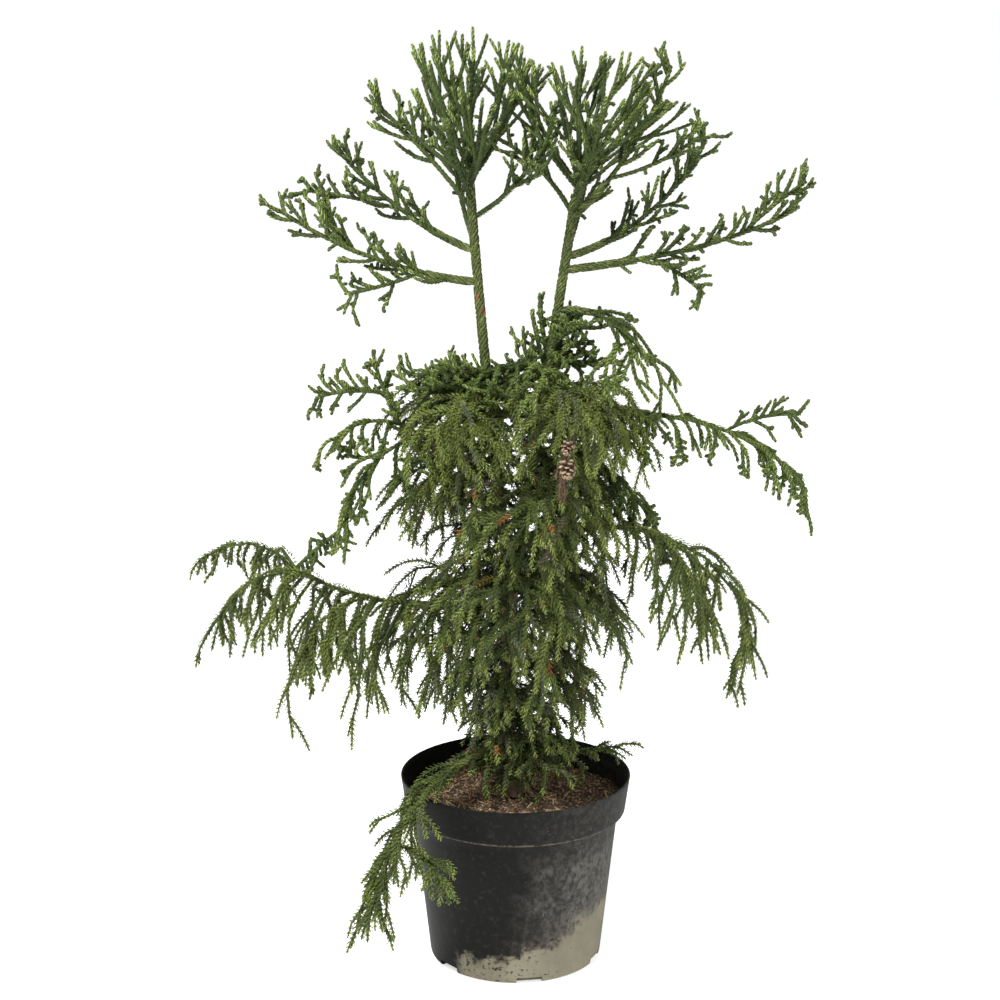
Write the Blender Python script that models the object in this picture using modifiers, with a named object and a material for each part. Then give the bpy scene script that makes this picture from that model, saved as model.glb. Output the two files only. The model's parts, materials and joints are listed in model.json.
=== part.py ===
"""Potted spiral japanese cedar, a young plant with two leaders in a nursery pot.

Metres, +Z up. The origin is the centre of the pot's flat underside, and the plant's
front faces -Y. Every limb is a curved tapering tube given by where it leaves its
parent, its heading (degrees from +X, anticlockwise seen from above), its rise above
the level and how both change along it. Twigs and needles follow a seeded rule.
"""

import math
from collections import namedtuple

import bmesh
import bpy
import numpy as np
from mathutils import Vector

# Pot
POT_HEIGHT = 0.212
RIM_RADIUS = 0.129
BAND_HEIGHT = 0.040
BAND_FOOT_RADIUS = 0.1234
BODY_TOP_RADIUS = 0.1152
BASE_RADIUS = 0.0971
BASE_ROUNDING = 0.0025
POT_WALL = 0.0022
RIM_CHAMFER_OUT = 0.3 * POT_WALL
RIM_CHAMFER_DOWN = 0.6 * POT_WALL
POT_FLOOR = 0.0030
POT_STEPS = 40
NOTCH_COUNT = 6
NOTCH_HEIGHT = 0.007
NOTCH_ANGLE = 17.0
NOTCH_FIRST = -81.0
NOTCH_INNER_RADIUS = 0.088
NOTCH_OUTER_RADIUS = 0.104

# Soil
SOIL_LEVEL = 0.187
SOIL_FALL = 0.005
SOIL_MOUND_RADIUS = 0.034

# Room kept between touching solids, and between twigs of different masses
SEAT_GAP = 0.0003
CUT_GAP = 0.0005
CLEAR_GAP = 0.0014
WELD = 0.000002

# Trunk
TRUNK_FOOT_X = -0.006
ROOT_FLARE = 0.60
ROOT_FLARE_HEIGHT = 0.014
FORK_SWELL = 0.0052
FORK_SWELL_HEIGHT = 0.016
TRUNK_RINGS = (0.0, 0.012, 0.03, 0.06, 0.12, 0.23, 0.34, 0.45, 0.56, 0.68, 0.79, 0.90, 0.95, 1.0)
ROOT_COUNT = 5
ROOT_REACH = 0.026
ROOT_RADIUS = 0.0050
ROOT_FIRST = 20
ROOT_STAGGER = 9
LEADER_SPREAD = 0.0056
LEADER_SINK = 0.001

# Three points of a root: share of its reach, height above the soil and share of its radius
ROOT_LINE = ((0.25, 0.016, 0.45), (0.55, 0.004, 0.85), (1.0, -0.004, 0.60))

# Tubes
PATH_PARTS = 32
LEADER_RINGS = 14
BOUGH_RINGS = 6
STEM_RINGS = 6
SIDE_STEM_RINGS = 4
CUTTER_RINGS = 16
MAIN_RESOLUTION = 2
CORD_RADIUS = 0.0037
CORD_TIP_RADIUS = 0.0028
COMB_RADIUS = 0.0050
COMB_TIP_RADIUS = 0.0028
SAMPLE_STEP = 0.003
GOLDEN_ANGLE = 137.5
LONG_TWIG = 0.095
LEAST_TWIGS = 2
TWIG_STEP = 0.6
ROLL_JITTER = 14
OPENING_JITTER = (0.8, 1.2)
LENGTH_JITTER = (0.78, 1.15)
FAN_OPENING_FIRST = 1.15
FAN_OPENING_FALL = 0.8
BOUGH_FIRST_TWIG = 0.16
ARM_FIRST_TWIG = 0.20
TIER_FIRST_TWIG = 0.30
BOUGH_SEED = 100
TIER_SEED = 600
SEED_STEP = 10
TWIGLESS = {"rising": 0.06, "fan": 0.016, "knobby": 0.06, "hanging": 0.06, "trailing": 0.06}
TWIG_TESTS = (0.18, 0.5, 0.75, 1.0)

# Needles, larger than life, and cones
NEEDLE_LENGTH = 0.013
NEEDLE_RADIUS = 0.0016
NEEDLE_TILT = 42.0
NEEDLE_SHARE = 0.62
NEEDLE_EVERY = {"rising": 3, "fan": 3, "knobby": 3, "hanging": 2, "trailing": 2}
CONE_RADIUS = 0.0095
CONE_LENGTH = 0.021
CONE_SIDES = 7
CONE_RINGS = 5

# How twigs stand on their stem: metres of stem for each twig, opening angle from the
# stem, rolls round the stem from its upper side (None for a golden spiral), how much
# the twig keeps its first way against the pull up (+) or down (-), how late it bends,
# how much shorter the twigs are at the stem's tip, and a twig's radius at root and tip.
Habit = namedtuple("Habit", "spacing opening rolls forward pull late taper root tip")
HABITS = {
    "rising": Habit(0.026, 44, (-62, 58, -18, 24), 1.00, 0.62, 0.9, 0.5, CORD_RADIUS, CORD_TIP_RADIUS),
    "fan": Habit(0.0024, 56, None, 1.25, 0.80, 0.9, 0.0, CORD_RADIUS, CORD_TIP_RADIUS),
    "knobby": Habit(0.020, 58, (-70, 70, 170, 20), 0.90, 0.20, 1.0, 0.3, CORD_RADIUS, CORD_TIP_RADIUS),
    "hanging": Habit(0.029, 60, (-82, 82, -48, 62), 0.12, -1.0, 0.6, 0.2, COMB_RADIUS, COMB_TIP_RADIUS),
    "trailing": Habit(0.026, 40, (-86, 86), 0.90, -0.45, 0.8, 0.3, COMB_RADIUS, COMB_TIP_RADIUS),
}

Limb = namedtuple(
    "Limb",
    "name parent along heading rise length turn lift late thick thin bare habit reach",
    defaults=(0, 0, 1, 0.0065, 0.0050, 0, "rising", 0.060),
)
Arm = namedtuple("Arm", "share heading rise length lift habit reach", defaults=(0, "rising", 0.05))

TRUNK_LENGTH = 0.267
LIMBS = (
    Limb("trunk", None, 0, 0, 93, TRUNK_LENGTH, lift=-7, thick=0.0170, thin=0.0145, bare=1),
    Limb("leader_left", "trunk", TRUNK_LENGTH, 172, 83, 0.442, lift=3, thick=0.0105, thin=0.0080,
         bare=0.93, habit="fan", reach=0.129),
    Limb("leader_right", "trunk", TRUNK_LENGTH, -8, 81.4, 0.434, thick=0.0105, thin=0.0080,
         bare=0.93, habit="fan", reach=0.140),
    Limb("left_low", "leader_left", 0.312, 184, 6, 0.230, turn=-10, lift=28, thick=0.0072, bare=0.22),
    Limb("left_high", "leader_left", 0.345, 164, 20, 0.185, turn=10, lift=30, bare=0.25),
    Limb("left_inner", "leader_left", 0.380, -34, 26, 0.150, turn=14, lift=42, reach=0.050),
    Limb("left_outer", "leader_left", 0.390, 168, 52, 0.150, turn=10, lift=-10, reach=0.070),
    Limb("left_front", "leader_left", 0.400, 252, 36, 0.105, lift=24),
    Limb("left_back", "leader_left", 0.352, 108, 36, 0.165, lift=34, reach=0.065),
    Limb("right_low", "leader_right", 0.328, -6, 8, 0.258, turn=6, lift=22, late=2, thick=0.0072,
         bare=0.28, reach=0.050),
    Limb("right_middle", "leader_right", 0.342, 14, 14, 0.200, turn=-14, lift=50, bare=0.22),
    Limb("right_high", "leader_right", 0.384, -4, 42, 0.190, turn=8, lift=30, bare=0.25),
    Limb("right_inner", "leader_right", 0.388, 150, 58, 0.110, turn=10, lift=-30, reach=0.055),
    Limb("right_front", "leader_right", 0.390, -72, 38, 0.110, lift=24),
    Limb("right_back", "leader_right", 0.345, 72, 34, 0.175, lift=34, reach=0.065),
    Limb("middle_sprigs", "leader_right", 0.200, 200, 48, 0.060, lift=30, thick=0.0060, reach=0.040),
    Limb("left_upper", "leader_left", 0.055, 188, 26, 0.232, turn=-12, lift=52, thin=0.0045,
         bare=0.55, reach=0.034),
    Limb("left_lower", "trunk", 0.222, 184, -5, 0.252, turn=-6, lift=34, late=1.3, thick=0.0080,
         bare=0.45, habit="hanging", reach=0.215),
    Limb("right_upper", "leader_right", 0.284, -12, 10, 0.124, lift=-80, thin=0.0045, bare=0.25,
         habit="hanging", reach=0.095),
    Limb("right_mid", "leader_right", 0.172, 4, 1, 0.318, turn=-8, lift=-58, late=2.2, thick=0.0070,
         thin=0.0045, bare=0.35, habit="hanging", reach=0.070),
    Limb("right_droop", "leader_right", 0.130, 10, 0, 0.160, lift=-65, thin=0.0045, bare=0.3,
         habit="hanging", reach=0.070),
    Limb("right_lower", "leader_right", 0.020, -16, 26, 0.330, turn=8, lift=-114, late=1.4,
         thick=0.0075, thin=0.0045, bare=0.3, habit="hanging", reach=0.105),
    Limb("back_upper", "leader_left", 0.175, 98, 14, 0.190, lift=-62, late=1.2, thin=0.0045, bare=0.35,
         habit="hanging", reach=0.095),
    Limb("back_lower", "trunk", 0.240, 74, 8, 0.240, turn=10, lift=-78, late=1.2, thick=0.0075,
         thin=0.0045, bare=0.35, habit="hanging", reach=0.105),
    Limb("foot_left", "trunk", 0.055, 222, 6, 0.262, turn=6, lift=-82, late=1.1, thin=0.0045, bare=0.56,
         habit="trailing", reach=0.085),
    Limb("foot_right", "trunk", 0.034, -4, 12, 0.130, lift=-2, thick=0.0060, thin=0.0045,
         habit="trailing", reach=0.040),
    Limb("foot_back", "trunk", 0.044, 104, 14, 0.100, lift=-14, thick=0.0060, thin=0.0045,
         habit="trailing", reach=0.045),
    Limb("foot_front", "trunk", 0.052, -58, 14, 0.085, lift=-30, thick=0.0060, thin=0.0045,
         habit="trailing", reach=0.050),
)

# Side limbs inside a mass, fused to its stem
ARMS = {
    "left_low": (Arm(0.27, 186, -22, 0.085, 14, "knobby", 0.034), Arm(0.62, 182, 62, 0.060, -16)),
    "left_high": (Arm(0.50, 177, 16, 0.108, -10, "rising", 0.038),),
    "left_inner": (Arm(0.45, -58, 10, 0.050, 10, "rising", 0.040),),
    "right_low": (Arm(0.75, 4, 46, 0.085, -14), Arm(0.36, -12, -22, 0.070, -22, "knobby", 0.034)),
    "right_high": (Arm(0.30, 0, 12, 0.104, 26),),
    "middle_sprigs": (
        Arm(0.50, 190, 16, 0.075, -70, "hanging", 0.055),
        Arm(0.50, 285, 20, 0.065, -60, "hanging", 0.055),
    ),
    "left_upper": (
        Arm(0.82, 182, 12, 0.076, -30, "knobby", 0.034),
        Arm(0.66, 186, 22, 0.080, -70, "hanging", 0.055),
        Arm(0.58, 192, -20, 0.115, -60, "hanging", 0.065),
    ),
    "left_lower": (
        Arm(0.96, 176, 58, 0.125, -108, "hanging", 0.055),
        Arm(0.96, 192, 6, 0.110, -76, "hanging", 0.080),
        Arm(0.62, 206, 4, 0.105, -82, "hanging", 0.120),
        Arm(0.97, 10, 45, 0.065, -10, "knobby", 0.025),
    ),
    "right_upper": (Arm(0.32, -60, 6, 0.070, -84, "hanging", 0.070),),
    "right_mid": (Arm(0.64, 6, 28, 0.085, -34, "knobby", 0.030),),
    "right_lower": (Arm(0.42, -52, 10, 0.120, -90, "hanging", 0.110),),
}

# Weeping masses in tiers round the trunk: height, masses, reach of the stem, first
# heading and reach of the twigs
TIERS = (
    (0.648, 4, 0.085, 295, 0.105),
    (0.560, 3, 0.090, 160, 0.115),
    (0.440, 3, 0.105, 40, 0.135),
    (0.335, 3, 0.090, 100, 0.100),
)
STEM_SINK = 0.0025
TIER_RISE = 26
TIER_LIFT = -84
TIER_TURNS = (0, 14, -14, 28, -28, 42, -42)
TIER_ARM_TURNS = (32, -32)
TIER_STAGGER = 0.012
TIER_ARM_SHARE = 0.30
TIER_ARM_LENGTH = 0.75
TIER_ARM_RISE = 0.2
TIER_ARM_LIFT = 0.8
FORK_HEIGHT = SOIL_LEVEL + TRUNK_LENGTH

# The mass and the twig that carry the cones, and for each its share of the twig and size
CONE_MASS = "column_1_1"
CONE_TWIG = 1
CONES = ((0.50, 0.80), (0.73, 1.0))

MATERIALS = {
    "pot": ((0.018, 0.018, 0.019), 0.55),
    "soil": ((0.085, 0.048, 0.028), 0.95),
    "trunk": ((0.115, 0.065, 0.040), 0.9),
    "leader": ((0.120, 0.160, 0.050), 0.8),
    "bough": ((0.090, 0.130, 0.040), 0.8),
    "foliage": ((0.060, 0.130, 0.025), 0.7),
}


# Scene and materials


def clear_scene():
    """Remove every object of the open scene."""
    for item in list(bpy.data.objects):
        bpy.data.objects.remove(item, do_unlink=True)


def make_collection(name):
    """A new collection under the scene."""
    group = bpy.data.collections.new(name)
    bpy.context.scene.collection.children.link(group)
    return group


def finish(item, kind):
    """Give an object the plain material of its kind."""
    color, roughness = MATERIALS[kind]
    material = bpy.data.materials.new(item.name)
    material.use_nodes = True
    shader = material.node_tree.nodes["Principled BSDF"]
    shader.inputs["Base Color"].default_value = (*color, 1.0)
    shader.inputs["Roughness"].default_value = roughness
    shader.inputs["Metallic"].default_value = 0.0
    item.data.materials.clear()
    item.data.materials.append(material)
    item.data.shade_smooth()
    item.data.set_sharp_from_angle(angle=math.radians(40))


# Paths


def limb_path(start, heading, rise, turn, lift, late, length):
    """A curve whose heading turns evenly and whose rise changes as share ** late."""
    share = (np.arange(PATH_PARTS) + 0.5) / PATH_PARTS
    h = np.radians(heading + turn * share)
    r = np.radians(rise + lift * share ** late)
    way = np.stack([np.cos(r) * np.cos(h), np.cos(r) * np.sin(h), np.sin(r)], axis=1)
    return np.vstack([start, start + np.cumsum(way * length / PATH_PARTS, axis=0)])


def twig_path(start, first, last, late, length):
    """A curve that leaves along first and bends evenly to last."""
    parts = 3 if length > LONG_TWIG else 2
    share = ((np.arange(parts) + 0.5) / parts) ** late
    way = np.outer(1 - share, first) + np.outer(share, last)
    way /= np.linalg.norm(way, axis=1)[:, None]
    return np.vstack([start, start + np.cumsum(way * length / parts, axis=0)])


def at_share(points, share):
    """Place and unit way at a share of an evenly divided path."""
    last = len(points) - 1
    place = min(max(share, 0.0), 1.0) * last
    index = min(int(place), last - 1)
    way = points[index + 1] - points[index]
    return points[index] + (place - index) * way, way / np.linalg.norm(way)


def path_length(points):
    """Length of a path."""
    return float(np.linalg.norm(np.diff(points, axis=0), axis=1).sum())


def unit(vector):
    """The vector at length one."""
    return vector / np.linalg.norm(vector)


# Solids


def new_object(name, mesh, group):
    """An object for a mesh, linked to a collection."""
    item = bpy.data.objects.new(name, mesh)
    group.objects.link(item)
    return item


def triangle_profile(group):
    """The three-sided section that twigs are drawn with."""
    curve = bpy.data.curves.new("twig_section", "CURVE")
    curve.dimensions = "2D"
    spline = curve.splines.new("POLY")
    spline.points.add(2)
    for index, point in enumerate(spline.points):
        angle = math.tau * index / 3
        point.co = (math.cos(angle), math.sin(angle), 0.0, 1.0)
    spline.use_cyclic_u = True
    section = new_object("twig_section", curve, group)
    section.hide_render = True
    return section


def tube(name, points, radii, group, resolution=1, section=None):
    """A closed tapering tube: a curve with filled caps, made a mesh and welded."""
    curve = bpy.data.curves.new(name, "CURVE")
    curve.dimensions = "3D"
    curve.use_fill_caps = True
    if section is None:
        curve.bevel_depth = 1.0
        curve.bevel_resolution = resolution
    else:
        curve.bevel_mode = "OBJECT"
        curve.bevel_object = section
    spline = curve.splines.new("POLY")
    spline.points.add(len(points) - 1)
    for point, place, radius in zip(spline.points, points, radii):
        point.co = (*place, 1.0)
        point.radius = radius
    drawn = new_object(name + "_curve", curve, group)
    graph = bpy.context.evaluated_depsgraph_get()
    mesh = bpy.data.meshes.new_from_object(drawn.evaluated_get(graph))
    shape = bmesh.new()
    shape.from_mesh(mesh)
    bmesh.ops.remove_doubles(shape, verts=shape.verts, dist=0.00001)
    bmesh.ops.recalc_face_normals(shape, faces=shape.faces)
    shape.to_mesh(mesh)
    shape.free()
    item = new_object(name, mesh, group)
    item.matrix_world = drawn.matrix_world
    bpy.data.objects.remove(drawn, do_unlink=True)
    bpy.data.curves.remove(curve)
    return item


def turned(name, profile, group):
    """A solid of revolution: a profile in the XZ plane with a Screw modifier."""
    mesh = bpy.data.meshes.new(name)
    edges = [(index, index + 1) for index in range(len(profile) - 1)]
    mesh.from_pydata([(x, 0.0, z) for x, z in profile], edges, [])
    item = new_object(name, mesh, group)
    screw = item.modifiers.new("turn", "SCREW")
    screw.axis = "Z"
    screw.steps = POT_STEPS
    screw.render_steps = POT_STEPS
    screw.use_merge_vertices = True
    screw.merge_threshold = 0.00001
    return item


def cut(item, cutter):
    """Take a cutter out of an object."""
    difference = item.modifiers.new("cut_" + cutter.name, "BOOLEAN")
    difference.operation = "DIFFERENCE"
    difference.solver = "EXACT"
    difference.object = cutter


def as_cutter(item):
    """Hide an object from renders and draw it as wire."""
    item.hide_render = True
    item.display_type = "WIRE"
    return item


def keep_main_body(mesh):
    """Keep the largest connected body: drops loose scraps and fills sealed hollows.

    True where every edge of it has two faces.
    """
    shape = bmesh.new()
    shape.from_mesh(mesh)
    bmesh.ops.remove_doubles(shape, verts=shape.verts, dist=WELD)
    left = set(shape.faces)
    bodies = []
    while left:
        body = [left.pop()]
        for face in body:
            near = {other for edge in face.edges for other in edge.link_faces} & left
            left -= near
            body.extend(near)
        bodies.append(body)
    bodies.sort(key=len, reverse=True)
    scraps = [face for body in bodies[1:] for face in body]
    bmesh.ops.delete(shape, geom=scraps, context="FACES")
    sound = all(len(edge.link_faces) == 2 for edge in shape.edges)
    shape.to_mesh(mesh)
    shape.free()
    return sound


def fuse(name, pieces, group):
    """One Boolean union of the first piece with the rest, applied."""
    base, rest = pieces[0], pieces[1:]
    joined = bpy.data.collections.new(name + "_pieces")
    bpy.context.scene.collection.children.link(joined)
    for piece in rest:
        for holder in list(piece.users_collection):
            holder.objects.unlink(piece)
        joined.objects.link(piece)
    union = base.modifiers.new("union", "BOOLEAN")
    union.operation = "UNION"
    union.operand_type = "COLLECTION"
    union.collection = joined
    for solver in ("EXACT", "MANIFOLD"):
        union.solver = solver
        graph = bpy.context.evaluated_depsgraph_get()
        mesh = bpy.data.meshes.new_from_object(base.evaluated_get(graph))
        if keep_main_body(mesh):
            break
    mesh.name = name
    item = new_object(name, mesh, group)
    for piece in pieces:
        bpy.data.objects.remove(piece, do_unlink=True)
    bpy.data.collections.remove(joined)
    return item


# Pot and soil


def inner_wall(z):
    """Radius of the pot's inner wall at a height."""
    band_foot = POT_HEIGHT - BAND_HEIGHT
    if z >= band_foot:
        rise = (z - band_foot) / BAND_HEIGHT
        return BAND_FOOT_RADIUS + (RIM_RADIUS - BAND_FOOT_RADIUS) * rise - POT_WALL
    return BASE_RADIUS + (BODY_TOP_RADIUS - BASE_RADIUS) * z / band_foot - POT_WALL


def build_pot(parts, cutters):
    """A thin tapered wall with a wider band at the rim, and notches in its bottom edge."""
    band_foot = POT_HEIGHT - BAND_HEIGHT
    profile = [
        (0.0, POT_FLOOR),
        (inner_wall(POT_FLOOR), POT_FLOOR),
        (inner_wall(band_foot - POT_WALL), band_foot - POT_WALL),
        (inner_wall(band_foot), band_foot),
        (inner_wall(POT_HEIGHT), POT_HEIGHT),
        (RIM_RADIUS - RIM_CHAMFER_OUT, POT_HEIGHT),
        (RIM_RADIUS, POT_HEIGHT - RIM_CHAMFER_DOWN),
        (BAND_FOOT_RADIUS, band_foot),
        (BODY_TOP_RADIUS, band_foot - POT_WALL),
        (BASE_RADIUS, BASE_ROUNDING),
        (BASE_RADIUS - BASE_ROUNDING, 0.0),
        (0.0, 0.0),
    ]
    pot = turned("pot", profile, parts)
    middle = (NOTCH_INNER_RADIUS + NOTCH_OUTER_RADIUS) / 2
    width = 2 * BASE_RADIUS * math.sin(math.radians(NOTCH_ANGLE / 2))
    for index in range(NOTCH_COUNT):
        angle = math.radians(NOTCH_FIRST + index * 360 / NOTCH_COUNT)
        place = (middle * math.cos(angle), middle * math.sin(angle), 0.0)
        bpy.ops.mesh.primitive_cube_add(size=1, location=place, rotation=(0, 0, angle))
        notch = bpy.context.active_object
        notch.name = f"notch_{index + 1}"
        notch.scale = (NOTCH_OUTER_RADIUS - NOTCH_INNER_RADIUS, width, 2 * NOTCH_HEIGHT)
        for holder in list(notch.users_collection):
            holder.objects.unlink(notch)
        cutters.objects.link(notch)
        cut(pot, as_cutter(notch))
    finish(pot, "pot")


def soil_top(radius):
    """Height of the soil: level round the trunk, then falling a little to the wall."""
    share = max(0.0, radius - SOIL_MOUND_RADIUS) / (inner_wall(SOIL_LEVEL) - SOIL_MOUND_RADIUS)
    return SOIL_LEVEL - SOIL_FALL * share


def build_soil(parts):
    """The filling, clear of the pot's wall and floor."""
    band_foot = POT_HEIGHT - BAND_HEIGHT
    edge = inner_wall(SOIL_LEVEL - SOIL_FALL) - SEAT_GAP
    middle = (SOIL_MOUND_RADIUS + edge) / 2
    floor = POT_FLOOR + SEAT_GAP
    profile = [
        (0.0, SOIL_LEVEL),
        (SOIL_MOUND_RADIUS, SOIL_LEVEL),
        (middle, soil_top(middle)),
        (edge, SOIL_LEVEL - SOIL_FALL),
        (inner_wall(band_foot) - SEAT_GAP, band_foot + 2 * SEAT_GAP),
        (inner_wall(band_foot - POT_WALL) - SEAT_GAP, band_foot - POT_WALL),
        (inner_wall(floor) - SEAT_GAP, floor),
        (0.0, floor),
    ]
    finish(turned("soil", profile, parts), "soil")


# Room already taken


class Room:
    """Sample balls along every tube built so far, with the owner of each."""

    def __init__(self):
        self.places = np.zeros((0, 3))
        self.radii = np.zeros(0)
        self.owners = []

    def samples(self, points, radii):
        """Balls every few millimetres along a path."""
        count = max(2, int(path_length(points) / SAMPLE_STEP))
        shares = np.linspace(0, 1, count)
        marks = np.linspace(0, 1, len(points))
        places = np.stack([np.interp(shares, marks, points[:, axis]) for axis in range(3)], axis=1)
        return places, np.interp(shares, marks, radii)

    def take(self, points, radii, owner):
        """Record a tube."""
        places, balls = self.samples(points, radii)
        self.places = np.vstack([self.places, places])
        self.radii = np.concatenate([self.radii, balls])
        self.owners += [owner] * len(balls)

    def free(self, points, radii, owners):
        """True where a tube keeps clear of other owners, the pot and the soil."""
        places, balls = self.samples(points, radii)
        across = np.hypot(places[:, 0], places[:, 1])
        over_soil = (across < inner_wall(SOIL_LEVEL)) & (places[:, 2] < SOIL_LEVEL + balls + CLEAR_GAP)
        low = places[:, 2] < POT_HEIGHT + balls + CLEAR_GAP
        wall_in = inner_wall(SOIL_LEVEL) - POT_WALL - balls
        at_wall = low & (across > wall_in) & (across < RIM_RADIUS + balls + CLEAR_GAP)
        if (over_soil | at_wall).any():
            return False
        others = np.array([owner not in owners for owner in self.owners], dtype=bool)
        if not others.any():
            return True
        gaps = np.linalg.norm(places[:, None, :] - self.places[others][None, :, :], axis=2)
        gaps -= balls[:, None] + self.radii[others][None, :]
        return bool((gaps > CLEAR_GAP).all())


# Limbs


def limb_radii(limb, shares):
    """Half thickness along a limb, with root flare and fork swelling on the trunk."""
    radii = (limb.thick + (limb.thin - limb.thick) * shares) / 2
    if limb.parent is None:
        radii = radii * (1 + ROOT_FLARE * np.exp(-shares * limb.length / ROOT_FLARE_HEIGHT))
        radii = radii + FORK_SWELL * np.exp(-(1 - shares) * limb.length / FORK_SWELL_HEIGHT)
    return radii


def limb_paths():
    """The path of every limb, from its parent's axis outwards."""
    paths = {}
    for limb in LIMBS:
        if limb.parent is None:
            start = np.array([TRUNK_FOOT_X, 0.0, SOIL_LEVEL + SEAT_GAP])
        else:
            parent = paths[limb.parent]
            start = at_share(parent, limb.along / path_length(parent))[0]
        if limb.parent == "trunk" and limb.along == TRUNK_LENGTH:
            side = math.cos(math.radians(limb.heading))
            start = start + np.array([LEADER_SPREAD * side, 0.0, -LEADER_SINK])
        paths[limb.name] = limb_path(
            start, limb.heading, limb.rise, limb.turn, limb.lift, limb.late, limb.length
        )
    return paths


def stretch(path, shares):
    """Points of a path at given shares."""
    return np.array([at_share(path, share)[0] for share in shares])


def bough_shares(limb):
    """Shares of a bough's path where its bare foot has rings."""
    return np.linspace(0, limb.bare, BOUGH_RINGS)


def stem_shares(begin, order):
    """Shares of a stem's path where it has rings: more on the main one."""
    return np.linspace(begin, 1, SIDE_STEM_RINGS if order else STEM_RINGS)


def tip_gap(limb, path, radius):
    """Room left at a bough's tip, so that the mass's tilted first ring stays clear of it."""
    foot = stretch(path, bough_shares(limb)[-2:])
    stem = stretch(path, stem_shares(limb.bare, 0)[:2])
    tilt = np.linalg.norm(np.cross(unit(foot[1] - foot[0]), unit(stem[1] - stem[0])))
    return SEAT_GAP + radius * tilt


def add_roots(trunk, group):
    """Root shoulders fused to the foot and cut level with the soil."""
    pieces = [trunk]
    foot = np.array([TRUNK_FOOT_X, 0.0, SOIL_LEVEL + SEAT_GAP])
    for index in range(ROOT_COUNT):
        heading = math.radians(ROOT_FIRST + index * 360 / ROOT_COUNT + ROOT_STAGGER * (-1) ** index)
        out = np.array([math.cos(heading), math.sin(heading), 0.0])
        points = np.array([
            foot + share * ROOT_REACH * out + np.array([0.0, 0.0, height]) for share, height, _ in ROOT_LINE
        ])
        radii = np.array([ROOT_RADIUS * size for _, _, size in ROOT_LINE])
        pieces.append(tube(f"root_{index}", points, radii, group))
    joined = fuse("trunk", pieces, group)
    shape = bmesh.new()
    shape.from_mesh(joined.data)
    level = Vector((0, 0, foot[2]))
    split = bmesh.ops.bisect_plane(
        shape, geom=shape.verts[:] + shape.edges[:] + shape.faces[:],
        plane_co=level, plane_no=(0, 0, -1), clear_outer=True, dist=0.00001,
    )
    rim = [part for part in split["geom_cut"] if isinstance(part, bmesh.types.BMEdge)]
    bmesh.ops.contextual_create(shape, geom=rim)
    bmesh.ops.remove_doubles(shape, verts=shape.verts, dist=0.00001)
    bmesh.ops.recalc_face_normals(shape, faces=shape.faces)
    shape.to_mesh(joined.data)
    shape.free()
    return joined


def limb_cutter(limb, path, cutters):
    """A little thicker and longer than the limb, to cut what starts on its axis."""
    shares = np.linspace(0, limb.bare, CUTTER_RINGS)
    points = stretch(path, shares)
    points[-1] += unit(points[-1] - points[-2]) * SEAT_GAP
    points[0] -= unit(points[1] - points[0]) * CUT_GAP
    radii = limb_radii(limb, shares) + CUT_GAP
    return as_cutter(tube("cutter_" + limb.name, points, radii, cutters, MAIN_RESOLUTION))


def build_limbs(paths, parts, cutters, room):
    """Trunk, leaders and the bare feet of the boughs, each one tapering limb."""
    parents = {limb.parent for limb in LIMBS}
    cutter_of = {}
    for limb in LIMBS:
        if limb.name in parents:
            cutter_of[limb.name] = limb_cutter(limb, paths[limb.name], cutters)
        if limb.bare == 0:
            continue
        main = limb.name == "trunk" or limb.name.startswith("leader")
        shares = np.linspace(0, limb.bare, LEADER_RINGS) if main else bough_shares(limb)
        if limb.name == "trunk":
            shares = np.array(TRUNK_RINGS)
        points = stretch(paths[limb.name], shares)
        radii = limb_radii(limb, shares)
        name = limb.name if main else "bough_" + limb.name
        tube_name = name + "_tube" if limb.name == "trunk" else name
        item = tube(tube_name, points, radii, parts, MAIN_RESOLUTION if main else 1)
        if limb.name == "trunk":
            item = add_roots(item, parts)
        else:
            cut(item, cutter_of[limb.parent])
        room.take(points, radii, limb.name)
        finish(item, "trunk" if limb.name == "trunk" else "leader" if main else "bough")
    return cutter_of


# Foliage


def side_ways(ahead):
    """Sideways and upward directions square to a stem."""
    side = np.cross(ahead, (0.0, 0.0, 1.0))
    if np.linalg.norm(side) < 0.2:
        side = np.array([1.0, 0.0, 0.0])
    side = unit(side - ahead * side.dot(ahead))
    return side, np.cross(side, ahead)


def grow_twigs(path, habit_name, reach, begin, seed):
    """Twigs along a stem: each leaves at the habit's angle and bends up or down."""
    habit = HABITS[habit_name]
    draw = np.random.default_rng(seed)
    count = max(LEAST_TWIGS, round(path_length(path) * (1 - begin) / habit.spacing))
    twigs = []
    for index in range(count):
        share = begin + (1 - begin) * (index + TWIG_STEP) / count
        start, ahead = at_share(path, share)
        side, top = side_ways(ahead)
        if habit.rolls is None:
            roll = index * GOLDEN_ANGLE
        else:
            roll = habit.rolls[index % len(habit.rolls)]
        roll = math.radians(roll + draw.uniform(-ROLL_JITTER, ROLL_JITTER))
        opening = math.radians(habit.opening * draw.uniform(*OPENING_JITTER))
        if habit.rolls is None:
            opening *= FAN_OPENING_FIRST - FAN_OPENING_FALL * (index + 0.5) / count
        outward = math.cos(roll) * top + math.sin(roll) * side
        first = math.cos(opening) * ahead + math.sin(opening) * outward
        last = unit(habit.forward * first + habit.pull * np.array([0.0, 0.0, 1.0]))
        length = reach * draw.uniform(*LENGTH_JITTER) * (1 - habit.taper * share)
        twigs.append(twig_path(start, first, last, habit.late, length))
    return twigs


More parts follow.
